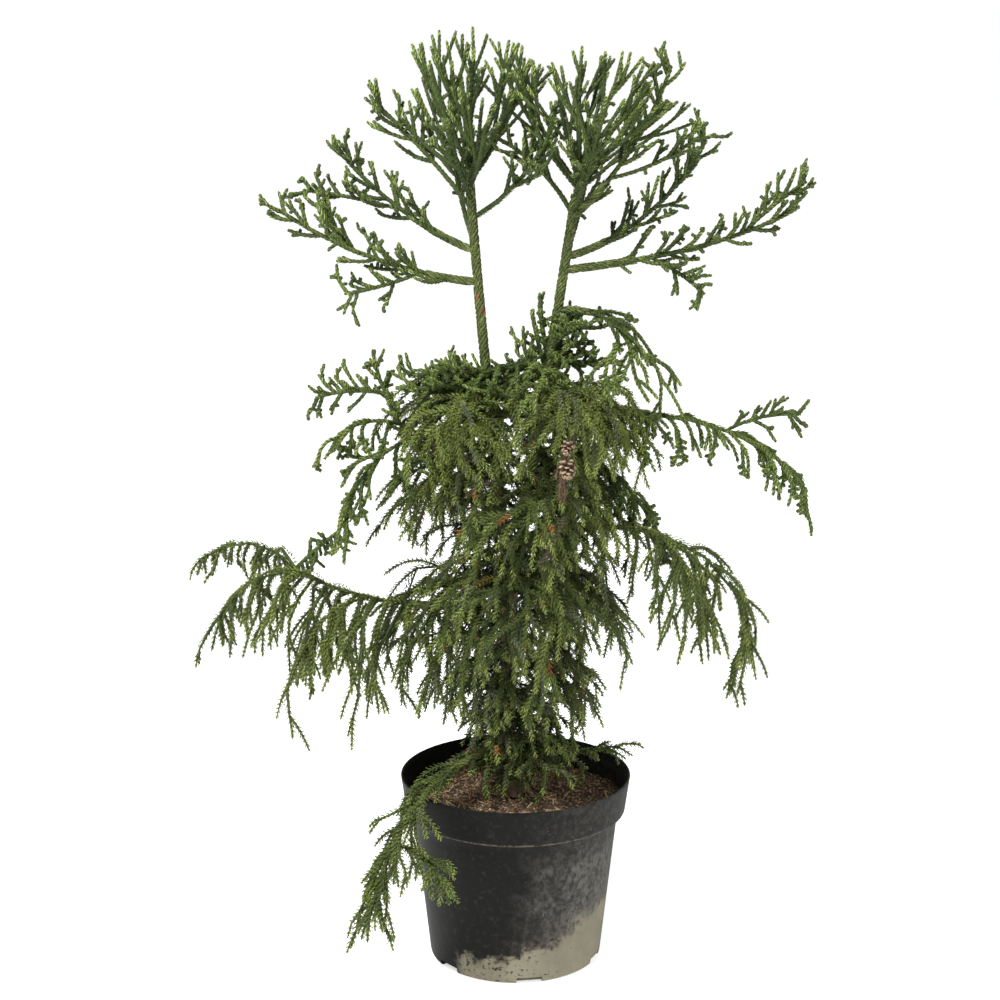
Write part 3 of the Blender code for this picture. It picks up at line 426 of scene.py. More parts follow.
class CEDAR_PG_plant(bpy.types.PropertyGroup):
    """Shoots and needles."""

    cord_radius: length("Cord core radius", "Radius of an upper shoot under its needles", 0.0016)
    cord_spacing: length("Cord needle spacing", "Metres of shoot for each needle", 0.00088)
    comb_radius: length("Comb core radius", "Radius of a weeping shoot under its needles", 0.0015)
    comb_spacing: length("Comb needle spacing", "Metres of shoot for each needle", 0.00102)
    bark: colour("Bark", "Colour of the trunk's bark", (0.160, 0.112, 0.076))
    shoot_bark: colour("Shoot bark", "Colour of the leaders' and boughs' bark", (0.050, 0.062, 0.014))


class CEDAR_PG_stage(bpy.types.PropertyGroup):
    """Camera and light."""

    distance: length("Camera distance", "From the plant's axis to the camera", 2.2)
    height: length("Camera height", "Height of the camera", 1.016)
    aside: FloatProperty(name="Camera aside", description="Camera to the right of the axis", default=-0.0175, unit="LENGTH")
    tilt: FloatProperty(name="Tilt", description="Camera below the level", default=math.radians(12.57), subtype="ANGLE")
    lens: FloatProperty(name="Lens", description="Focal length in millimetres", default=74.2)


# Paths


def unit(vectors):
    """Vectors at length one."""
    return vectors / np.linalg.norm(vectors, axis=-1, keepdims=True)


def limb_path(start, heading, rise, turn, lift, late, reach):
    """A curve whose heading turns evenly and whose rise changes as share ** late."""
    share = (np.arange(PATH_PARTS) + 0.5) / PATH_PARTS
    h = np.radians(heading + turn * share)
    r = np.radians(rise + lift * share ** late)
    way = np.stack([np.cos(r) * np.cos(h), np.cos(r) * np.sin(h), np.sin(r)], axis=1)
    return np.vstack([start, start + np.cumsum(way * reach / PATH_PARTS, axis=0)])


def places_on(paths, owner, share):
    """Places and unit ways at shares of evenly divided paths, by straight interpolation."""
    last = paths.shape[1] - 1
    place = np.clip(share, 0.0, 1.0) * last
    index = np.minimum(place.astype(int), last - 1)
    way = paths[owner, index + 1] - paths[owner, index]
    return paths[owner, index] + (place - index)[:, None] * way, unit(way)


def at_share(path, share):
    """Place and unit way at one share of a path."""
    place, way = places_on(path[None], np.array([0]), np.array([float(share)]))
    return place[0], way[0]


def path_lengths(paths):
    """Length of each path."""
    return np.linalg.norm(np.diff(paths, axis=-2), axis=-1).sum(axis=-1)


def side_ways(ahead):
    """Sideways and upward directions square to each way ahead."""
    side = np.cross(ahead, UP)
    steep = np.linalg.norm(side, axis=-1) < 0.2
    side[steep] = (1.0, 0.0, 0.0)
    side = unit(side - ahead * (side * ahead).sum(axis=-1, keepdims=True))
    return side, np.cross(side, ahead)


def bent_paths(starts, firsts, lasts, late, lengths, parts):
    """Curves that leave along firsts and bend evenly to lasts, as a running sum of their ways."""
    share = (((np.arange(parts) + 0.5) / parts) ** late)[None, :, None]
    way = unit((1 - share) * firsts[:, None, :] + share * lasts[:, None, :])
    steps = np.cumsum(way * (lengths / parts)[:, None, None], axis=1)
    return np.concatenate([starts[:, None, :], starts[:, None, :] + steps], axis=1)


def limb_paths():
    """The path of every limb, from its parent's axis outwards."""
    paths = {}
    for limb in LIMBS:
        if limb.parent is None:
            start = np.array([TRUNK_FOOT_X, 0.0, SOIL_LEVEL + SEAT_GAP])
        else:
            parent = paths[limb.parent]
            start = at_share(parent, limb.along / path_lengths(parent))[0]
        if limb.parent == "trunk" and limb.along == TRUNK_LENGTH:
            start = start + np.array([LEADER_SPREAD * math.cos(math.radians(limb.heading)), 0.0, -0.001])
        paths[limb.name] = limb_path(
            start, limb.heading, limb.rise, limb.turn, limb.lift, limb.late, limb.length
        )
    return paths


PATHS = limb_paths()
Stem = namedtuple("Stem", "path begin first_twig habit reach seed mass thick thin")
STEM_TIP = {"rising": 0.0020, "fan": 0.0024, "knobby": 0.0020, "hanging": 0.0013, "trailing": 0.0013}


def limb_radii(limb, shares):
    """Half thickness along a limb, with root flare and fork swelling on the trunk."""
    radii = (limb.thick + (limb.thin - limb.thick) * shares) / 2
    if limb.parent is None:
        radii = radii * (1 + ROOT_FLARE * np.exp(-shares * limb.length / ROOT_FLARE_HEIGHT))
        radii = radii + FORK_SWELL * np.exp(-(1 - shares) * limb.length / FORK_SWELL_HEIGHT)
    return radii


def bough_stems():
    """Stems of the boughs' masses and of their arms, with the seeds of the solids."""
    stems = []
    for order, limb in enumerate(LIMBS):
        if limb.parent is None:
            continue
        path = PATHS[limb.name]
        mass = "foliage_" + limb.name.replace("leader_", "fan_")
        thick = limb_radii(limb, limb.bare)
        thin = STEM_TIP[limb.habit]
        stems.append(Stem(
            path, limb.bare, 0.16, limb.habit, limb.reach, 100 + 10 * order, mass, thick, thin
        ))
        for number, arm in enumerate(ARMS.get(limb.name, ()) + LATE_ARMS.get(limb.name, ())):
            start = at_share(path, arm.share)[0]
            route = limb_path(start, arm.heading, arm.rise, 0, arm.lift, 1, arm.length)
            seed = 101 + 10 * order + number
            stems.append(Stem(
                route, 0.0, 0.2, arm.habit, arm.reach, seed, mass, limb.thin / 2, STEM_TIP[arm.habit]
            ))
    return stems


def tier_stems():
    """Arching stems with side stems, in tiers on the trunk and the nearer leader."""
    stems = []
    for level, (height, count, reach, first, twig_reach) in enumerate(TIERS):
        for index in range(count):
            mass = f"foliage_column_{level + 1}_{index + 1}"
            heading = first + index * 360 / count
            level_height = height - TIER_STAGGER * (index % 2)
            parent = "trunk"
            if level_height > FORK_HEIGHT:
                parent = "leader_right" if math.cos(math.radians(heading)) > 0 else "leader_left"
            axis = PATHS[parent]
            share = float(np.interp(level_height, axis[:, 2], np.linspace(0, 1, len(axis))))
            heading += TIER_TURNS.get(mass, 0)
            main = limb_path(at_share(axis, share)[0], heading, TIER_RISE, 0, TIER_LIFT, 1, reach)
            side_start = at_share(main, TIER_ARM_SHARE)[0]
            seed = 600 + 10 * level + index
            stems.append(Stem(main, 0.0, 0.3, "hanging", twig_reach, seed, mass, 0.0024, 0.0013))
            for number, turn in enumerate(TIER_ARM_TURNS):
                route = limb_path(
                    side_start, heading + turn, 0.2 * TIER_RISE, 0, 0.8 * TIER_LIFT, 1,
                    TIER_ARM_LENGTH * reach,
                )
                stems.append(Stem(
                    route, 0.0, 0.3, "hanging", twig_reach, seed + 1 + number, mass, 0.0020, 0.0013
                ))
    return stems


def axis_at(height, heading):
    """Place on the trunk, or on the nearer leader, at a height."""
    name = "trunk"
    if height > FORK_HEIGHT:
        name = "leader_right" if math.cos(math.radians(heading)) > 0 else "leader_left"
    axis = PATHS[name]
    share = float(np.interp(height, axis[:, 2], np.linspace(0, 1, len(axis))))
    return at_share(axis, share)[0]


def between_stems():
    """Short arching stems between the tiers, a golden spiral up the trunk and the leaders."""
    count, low, high, reach, twig_reach = BETWEEN
    draw = np.random.default_rng(700)
    stems = []
    for index in range(count):
        height = low + (high - low) * (index + 0.5) / count
        heading = index * GOLDEN_ANGLE + draw.uniform(-20, 20)
        rise = draw.uniform(0, 50)
        route = limb_path(
            axis_at(height, heading), heading, rise, draw.uniform(-25, 25), draw.uniform(-60, -30) - rise, 1,
            reach * draw.uniform(0.6, 1.3),
        )
        twig = twig_reach * draw.uniform(0.7, 1.2) * min(1.0, (height - SOIL_LEVEL) / LOW_REACH)
        stems.append(Stem(
            route, 0.0, 0.3, "hanging", twig, 701 + index, "foliage_column_1_1", 0.0022, 0.0013
        ))
    return stems


def front_stems():
    """Short stems that hang before the trunk's foot, the fork and the leaders' feet."""
    stems = []
    for seed, count, low, high, reach, twig_reach in FRONTS:
        draw = np.random.default_rng(seed)
        for index in range(count):
            height = low + (high - low) * (index + 0.5) / count
            heading = 270 + 62 * (-1) ** index * draw.uniform(0.1, 1.0)
            route = limb_path(
                axis_at(height, heading), heading, draw.uniform(5, 40), 0, draw.uniform(-110, -70), 1,
                reach * draw.uniform(0.6, 1.3),
            )
            twig = twig_reach * draw.uniform(0.6, 1.2) * min(1.0, (height - SOIL_LEVEL) / LOW_REACH)
            stems.append(Stem(
                route, 0.0, 0.3, "hanging", twig, seed + 1 + index, "foliage_column_1_1", 0.0020, 0.0013
            ))
    return stems


def crown_stems():
    """Knobby upright and arching stems on the leaders where they leave the tiers."""
    draw = np.random.default_rng(800)
    stems = []
    for parent, count, low, high, middle, spread in CROWN:
        axis = PATHS[parent]
        for index in range(count):
            height = low + (high - low) * (index + 0.5) / count
            share = float(np.interp(height, axis[:, 2], np.linspace(0, 1, len(axis))))
            turned = index * GOLDEN_ANGLE % 360 / 180 - 1
            heading = middle + spread * turned + draw.uniform(-20, 20)
            rise = draw.uniform(5, 55)
            route = limb_path(
                at_share(axis, share)[0], heading, rise, draw.uniform(-30, 30), draw.uniform(-60, 10), 1,
                CROWN_REACH * draw.uniform(0.55, 1.25),
            )
            stems.append(Stem(
                route, 0.0, 0.15, "knobby", draw.uniform(0.018, 0.034), 801 + len(stems),
                "foliage_middle_sprigs", 0.0026, 0.0018
            ))
    for number, (parent, height, heading, rise, turn, lift, reach, habit, twig) in enumerate(SPRIGS):
        axis = PATHS[parent]
        share = float(np.interp(height, axis[:, 2], np.linspace(0, 1, len(axis))))
        route = limb_path(at_share(axis, share)[0], heading, rise, turn, lift, 1, reach)
        stems.append(Stem(
            route, 0.0, 0.15, habit, twig, 871 + number, "foliage_middle_sprigs", 0.0031, 0.0023
        ))
    return stems


def foot_stems():
    """The bare feet of some boughs, which carry short shoots of their own."""
    stems = []
    for order, limb in enumerate(LIMBS):
        if limb.name in FEET:
            path = np.stack([at_share(PATHS[limb.name], share)[0] for share in np.linspace(0.08, limb.bare, 12)])
            _, habit, reach = FEET[limb.name]
            stems.append(Stem(path, 0.0, 0.0, habit, reach, 900 + order, limb.name, 0.002, 0.002))
    return stems


def swayed(paths, amount, draw):
    """Paths that swing to and fro: a wave of a random phase, square to the path's own way.

    The wave is amount * length * (sin(turns * share + phase) - sin(phase)) * share.
    """
    share = np.linspace(0, 1, paths.shape[1])[None, :]
    chord = unit(paths[:, -1] - paths[:, 0])
    side, top = side_ways(chord)
    for way in (side, top):
        phase = draw.uniform(0, math.tau, (len(paths), 1))
        turns = draw.uniform(4.0, 8.0, (len(paths), 1))
        wave = (np.sin(turns * share + phase) - np.sin(phase)) * share
        size = amount * path_lengths(paths)[:, None]
        paths = paths + (size * wave)[..., None] * way[:, None, :]
    return paths


def twigs_on(stem, spacing, seed, begin, stray=0.0, parts=8, late=None, turns=None):
    """Twigs along a stem: each leaves at the habit's angle and bends up or down.

    stray turns the last way of each hanging twig aside by chance, and late and turns stand
    in for how late the habit bends and for its rolls.
    """
    habit = HABITS[stem.habit]
    draw = np.random.default_rng(seed)
    count = max(2, round(float(path_lengths(stem.path)) * (1 - begin) / spacing))
    number = np.arange(count)
    share = begin + (1 - begin) * (number + 0.6) / count
    jitter = draw.uniform(size=(count, 3))
    start, ahead = places_on(np.repeat(stem.path[None], count, axis=0), number, share)
    side, top = side_ways(ahead)
    rolls = number * GOLDEN_ANGLE if habit.rolls is None else np.resize(turns or habit.rolls, count)
    roll = np.radians(rolls + (jitter[:, 0] - 0.5) * 28)[:, None]
    opening = np.radians(habit.opening * (0.8 + 0.4 * jitter[:, 1]))
    if habit.rolls is None:
        opening = opening * (1.15 - 0.8 * (number + 0.5) / count)
    opening = opening[:, None]
    outward = np.cos(roll) * top + np.sin(roll) * side
    first = np.cos(opening) * ahead + np.sin(opening) * outward
    aside = stray * draw.normal(size=(count, 3)) * np.array([1.0, 1.0, 0.4])
    last = unit(habit.forward * first + habit.pull * UP + aside)
    lengths = stem.reach * (0.78 + 0.37 * jitter[:, 2]) * (1 - habit.taper * share)
    return bent_paths(start, first, last, late or habit.late, lengths, parts)


def all_twigs(stem):
    """The source's twigs on a stem, and as many thinner ones between them."""
    begin = max(stem.begin + TWIGLESS[stem.habit], stem.first_twig)
    begin_fill = FILL_BEGIN[stem.habit] if stem.begin > 0 else 0.05
    stray = 0.0 if is_cord(stem) else STRAY.get(stem.mass, STRAY_ELSEWHERE)
    habit = FILL_HABITS.get(stem.mass, stem.habit)
    shorter = stem._replace(reach=stem.reach * FILL_REACH.get(stem.mass, 1.0), habit=habit)
    spacing = FILL_SPACING[stem.habit] / FILL_MORE.get(stem.mass, 1.0)
    late = COLUMN_LATE if stem.mass.startswith("foliage_column") else None
    turns = RISING_ROLLS if stem.habit == "rising" else None
    twigs = np.concatenate([
        twigs_on(stem, HABITS[stem.habit].spacing, stem.seed, begin, stray),
        twigs_on(shorter, spacing, stem.seed + 5000, begin_fill, stray, late=late, turns=turns),
    ])
    open_foot = OPEN_FEET.get(stem.mass, 0.0) * float(path_lengths(stem.path))
    twigs = twigs[np.linalg.norm(twigs[:, 0] - stem.path[0], axis=1) >= open_foot]
    return swayed(twigs, SWAY[stem.habit], np.random.default_rng(stem.seed + 9000))


def is_cord(stem):
    """True where a stem carries upper, cord-like shoots."""
    return stem.habit in CORD_HABITS


def is_droop(stem):
    """True where a stem carries hanging shoots that are cords."""
    return not is_cord(stem) and stem.mass.removeprefix("foliage_") in DROOPING


def finer_shoots(paths, rule, draw, parts=8):
    """Side shoots on every path, alternating left and right with some jitter.

    A shoot leaves at the opening angle and its way turns evenly to forward * first way +
    pull * up, and where it curls, back against its first way.
    """
    lengths = path_lengths(paths)
    wanted = lengths * (rule.high - rule.low) / rule.spacing
    counts = np.floor(wanted + draw.uniform(0, 1, len(paths))).astype(int)
    owner = np.repeat(np.arange(len(paths)), counts)
    number = np.arange(len(owner)) - np.repeat(np.cumsum(counts) - counts, counts)
    step = (number + draw.uniform(0.1, 0.9, len(owner))) / counts[owner]
    share = rule.low + (rule.high - rule.low) * step
    start, ahead = places_on(paths, owner, share)
    side, top = side_ways(ahead)
    roll = np.radians(90 * (-1.0) ** number + draw.uniform(-60, 60, len(owner)))[:, None]
    opening = np.radians(rule.opening * draw.uniform(0.75, 1.25, len(owner)))[:, None]
    outward = np.cos(roll) * top + np.sin(roll) * side
    first = np.cos(opening) * ahead + np.sin(opening) * outward
    last = unit(rule.forward * first + rule.pull * UP)
    if rule.curl:
        turned_back = unit(outward - 0.9 * ahead + draw.uniform(-0.4, 0.4, (len(owner), 3)))
        amount = rule.curl * draw.uniform(0.3, 1.0, len(owner))[:, None]
        last = unit((1 - amount) * last + amount * turned_back)
    reach = lengths[owner] * rule.share * draw.uniform(0.6, 1.3, len(owner)) * (1.2 - 0.7 * share)
    if rule.rest:
        reach = lengths[owner] * rule.share * draw.uniform(0.78, 1.10, len(owner)) * (1 - share)
    reach = np.maximum(reach, rule.least * draw.uniform(0.75, 1.25, len(owner)))
    return bent_paths(start, first, last, rule.late, reach, parts)


def clear_of_pot(paths):
    """True where a shoot keeps out of the pot's wall and the soil."""
    across = np.hypot(paths[..., 0], paths[..., 1])
    low = paths[..., 2] < POT_HEIGHT + 0.003
    in_soil = (across < RIM_RADIUS) & (paths[..., 2] < SOIL_LEVEL + 0.002)
    in_wall = low & (across > 0.116) & (across < RIM_RADIUS + 0.003)
    under = paths[..., 2] < 0.01
    return ~(in_soil | in_wall | under).any(axis=1)


def within_skirt(paths):
    """The shoots that don't end low and far out."""
    top, low, middle, half, growth = SKIRT
    x, y, z = paths[:, -1].T
    widest = half + growth * (z - low)
    return paths[(z > top) | (np.hypot(x - middle, y) < widest)]


def inside_frame(paths):
    """True where a shoot stays in the box of the solids."""
    low, high = (np.array(corner) for corner in CAD_BOUNDS)
    return ((paths > low - 0.004) & (paths < high + 0.004)).all(axis=(1, 2))


# Meshes


def mesh_from(name, points, triangles, smooth=True):
    """A mesh object from vertex and triangle arrays, sent over as whole arrays."""
    mesh = bpy.data.meshes.new(name)
    mesh.vertices.add(len(points))
    mesh.vertices.foreach_set("co", np.ascontiguousarray(points, dtype=np.float32).ravel())
    mesh.loops.add(3 * len(triangles))
    mesh.loops.foreach_set("vertex_index", np.ascontiguousarray(triangles, dtype=np.int32).ravel())
    mesh.polygons.add(len(triangles))
    mesh.polygons.foreach_set("loop_start", np.arange(0, 3 * len(triangles), 3, dtype=np.int32))
    mesh.update(calc_edges=True)
    mesh.validate()
    if smooth:
        mesh.shade_smooth()
    item = bpy.data.objects.new(name, mesh)
    bpy.context.scene.collection.objects.link(item)
    return item


def carried_frames(paths):
    """Side and up directions carried along each path, turned as little as can be."""
    ways = unit(np.diff(paths, axis=1))
    ways = np.concatenate([ways, ways[:, -1:]], axis=1)
    middle = ways.copy()
    middle[:, 1:-1] = unit(ways[:, :-2] + ways[:, 1:-1])
    side, top = side_ways(middle[:, 0].copy())
    sides = [side]
    for index in range(1, paths.shape[1]):
        step = middle[:, index]
        side = unit(sides[-1] - step * (sides[-1] * step).sum(axis=1, keepdims=True))
        sides.append(side)
    sides = np.stack(sides, axis=1)
    return middle, sides, np.cross(sides, middle)


def tube_grid(paths, radii, sides, relief=None):
    """Closed tubes: rings of points round each path, joined by triangles, with capped ends.

    A point is the path's place plus radius times (cos a * side + sin a * up). relief is a
    function of angle and length along, whose value is added to the radius.
    """
    count, rings = paths.shape[:2]
    _, side, top = carried_frames(paths)
    angle = np.arange(sides) * math.tau / sides
    round_way = np.cos(angle)[:, None] * side[:, :, None, :] + np.sin(angle)[:, None] * top[:, :, None, :]
    reach = np.repeat(radii[:, :, None], sides, axis=2)
    if relief is not None:
        along = np.concatenate(
            [np.zeros((count, 1)), np.cumsum(np.linalg.norm(np.diff(paths, axis=1), axis=2), axis=1)], axis=1
        )
        reach = reach + relief(angle[None, None, :], along[:, :, None])
    points = paths[:, :, None, :] + reach[..., None] * round_way
    points = points.reshape(count, rings * sides, 3)
    points = np.concatenate([points, paths[:, :1], paths[:, -1:]], axis=1)
    ring = np.arange(rings - 1)[:, None] * sides
    spot = np.arange(sides)[None, :]
    after = (spot + 1) % sides
    a, b = ring + spot, ring + after
    c, d = b + sides, a + sides
    body = np.concatenate([
        np.stack([a, b, c], axis=-1).reshape(-1, 3), np.stack([a, c, d], axis=-1).reshape(-1, 3)
    ])
    foot, tip = rings * sides, rings * sides + 1
    last = (rings - 1) * sides
    caps = np.concatenate([
        np.stack([np.full(sides, foot), after[0], spot[0]], axis=-1),
        np.stack([np.full(sides, tip), last + spot[0], last + after[0]], axis=-1),
    ])
    faces = np.concatenate([body, caps])
    offset = np.arange(count)[:, None, None] * points.shape[1]
    return points.reshape(-1, 3), (faces[None] + offset).reshape(-1, 3)


def needle_faces(sections, edge):
    """Faces of a needle of three-cornered sections and a point or edge, open at its sunk root."""
    faces = []
    for row in range(sections - 1):
        for corner in range(3):
            after = (corner + 1) % 3
            a, b = 3 * row + corner, 3 * row + after
            faces += [(a, b, b + 3), (a, b + 3, a + 3)]
    last = 3 * (sections - 1)
    foot, top = last + 3, last + 3 + edge
    faces += [(last, last + 1, top), (last + 1, last + 2, foot), (last + 2, last, foot)]
    if edge:
        faces += [(last, top, foot), (last + 1, foot, top)]
    return np.array(faces)


def needle_mesh(place, ahead, outward, girth, near, stand, lean, shape, draw):
    """Needles round their shoots: rows of three-cornered sections that end in a point.

    At each section the needle's middle lies `along` the shoot's way, at `girth + out` from
    its axis in the outward way turned by `wrap`. Its lower corners lie half a width to
    each side of that, and its ridge `keel` further out, at right angles to the needle, which
    leaves the shoot at `lean` degrees. near is 1, and less close to the shoot's tip, where
    the needles shorten and close in. stand scales how far they stand out.
    """
    count = len(place)
    around = np.cross(ahead, outward)
    size = (draw.uniform(0.8, 1.15, count) * near)[:, None]
    spread = (draw.uniform(0.85, 1.15, count) * stand)[:, None]
    tilt = math.radians(lean)
    close = np.minimum(1.0, 0.45 + 0.55 * near)[:, None]
    rows = []
    for section in shape:
        angle = math.radians(section.wrap)
        out = math.cos(angle) * outward + math.sin(angle) * around
        flat = math.cos(angle) * around - math.sin(angle) * outward
        reach = (girth[:, None] + section.out * spread * size) * close
        middle = place + section.along * size * ahead + reach * out
        ridge = middle + section.keel * (math.cos(tilt) * out - math.sin(tilt) * ahead)
        if section is shape[-1] and section.keel:
            rows += [middle, ridge]
        elif section is shape[-1]:
            rows.append(middle)
        else:
            rows += [middle + section.half * flat, ridge, middle - section.half * flat]
    points = np.stack(rows, axis=1)
    faces = needle_faces(len(shape) - 1, int(shape[-1].keel > 0))
    offset = np.arange(count)[:, None, None] * points.shape[1]
    return points.reshape(-1, 3), (faces[None] + offset).reshape(-1, 3)


def needle_places(paths, spacing, twist, draw):
    """Needle roots on every path: five winding ranks at even steps.

    Returns the place, way ahead, outward way, owner path and share along of each.
    """
    lengths = path_lengths(paths)
    counts = np.maximum(4, np.round(lengths / spacing)).astype(int)
    owner = np.repeat(np.arange(len(paths)), counts)
    number = np.arange(len(owner)) - np.repeat(np.cumsum(counts) - counts, counts)
    share = (number + 0.5) / counts[owner]
    place, ahead = places_on(paths, owner, share)
    side, top = side_ways(ahead)
    turn = number * RANK_ANGLE + draw.uniform(0, 360, len(paths))[owner] + twist * share * lengths[owner]
    turn = np.radians(turn + draw.uniform(-12, 12, len(owner)))[:, None]
    outward = np.cos(turn) * top - np.sin(turn) * side
    return place, ahead, outward, owner, share


# Materials


def colour_group(name, build):
    """A shader node group with a colour input and output, made once."""
    group = bpy.data.node_groups.get(name)
    if group is None:
        group = bpy.data.node_groups.new(name, "ShaderNodeTree")
        build(group)
    return group


def build_tone_group(group):
    """Lightens and darkens a colour in soft patches of the object's own space."""
    face = group.interface
    face.new_socket("Color", in_out="INPUT", socket_type="NodeSocketColor")
    face.new_socket("Scale", in_out="INPUT", socket_type="NodeSocketFloat")
    face.new_socket("Dark", in_out="INPUT", socket_type="NodeSocketFloat")
    face.new_socket("Light", in_out="INPUT", socket_type="NodeSocketFloat")
    face.new_socket("Color", in_out="OUTPUT", socket_type="NodeSocketColor")
    face.new_socket("Value", in_out="OUTPUT", socket_type="NodeSocketFloat")
    nodes, links = group.nodes, group.links
    entry = nodes.new("NodeGroupInput")
    leave = nodes.new("NodeGroupOutput")
    place = nodes.new("ShaderNodeTexCoord")
    noise = nodes.new("ShaderNodeTexNoise")
    noise.inputs["Detail"].default_value = 3.0
    spread = nodes.new("ShaderNodeMapRange")
    spread.inputs["From Min"].default_value = 0.3
    spread.inputs["From Max"].default_value = 0.7
    tone = nodes.new("ShaderNodeVectorMath")
    tone.operation = "SCALE"
    links.new(place.outputs["Object"], noise.inputs["Vector"])
    links.new(entry.outputs["Scale"], noise.inputs["Scale"])
    links.new(noise.outputs["Fac"], spread.inputs["Value"])
    links.new(entry.outputs["Dark"], spread.inputs["To Min"])
    links.new(entry.outputs["Light"], spread.inputs["To Max"])
    links.new(entry.outputs["Color"], tone.inputs[0])
    links.new(spread.outputs["Result"], tone.inputs["Scale"])
    links.new(tone.outputs["Vector"], leave.inputs["Color"])
    links.new(noise.outputs["Fac"], leave.inputs["Value"])


def toned(name, base, scale, dark, light, roughness, bump=0.0, bump_scale=300.0, specular=0.4):
    """A material whose colour varies in patches, with a fine bump where asked."""
    material = bpy.data.materials.new(name)
    material.use_nodes = True
    nodes, links = material.node_tree.nodes, material.node_tree.links
    shader = nodes["Principled BSDF"]
    shader.inputs["Roughness"].default_value = roughness
    shader.inputs["Specular IOR Level"].default_value = specular
    tone = nodes.new("ShaderNodeGroup")
    tone.node_tree = colour_group("tone_patches", build_tone_group)
    tone.inputs["Color"].default_value = (*base, 1.0)
    tone.inputs["Scale"].default_value = scale
    tone.inputs["Dark"].default_value = dark
    tone.inputs["Light"].default_value = light
    links.new(tone.outputs["Color"], shader.inputs["Base Color"])
    if bump:
        place = nodes.new("ShaderNodeTexCoord")
        noise = nodes.new("ShaderNodeTexNoise")
        noise.inputs["Scale"].default_value = bump_scale
        noise.inputs["Detail"].default_value = 4.0
        relief = nodes.new("ShaderNodeBump")
        relief.inputs["Strength"].default_value = bump
        relief.inputs["Distance"].default_value = 0.001
        links.new(place.outputs["Object"], noise.inputs["Vector"])
        links.new(noise.outputs["Fac"], relief.inputs["Height"])
        links.new(relief.outputs["Normal"], shader.inputs["Normal"])
    return material


def math_node(nodes, links, kind, first, second=None):
    """A Math node fed by sockets or numbers."""
    node = nodes.new("ShaderNodeMath")
    node.operation = kind
    for slot, value in enumerate((first, second)):
        if value is None:
            continue
        if isinstance(value, (int, float)):
            node.inputs[slot].default_value = value
        else:
            links.new(value, node.inputs[slot])
    return node.outputs[0]


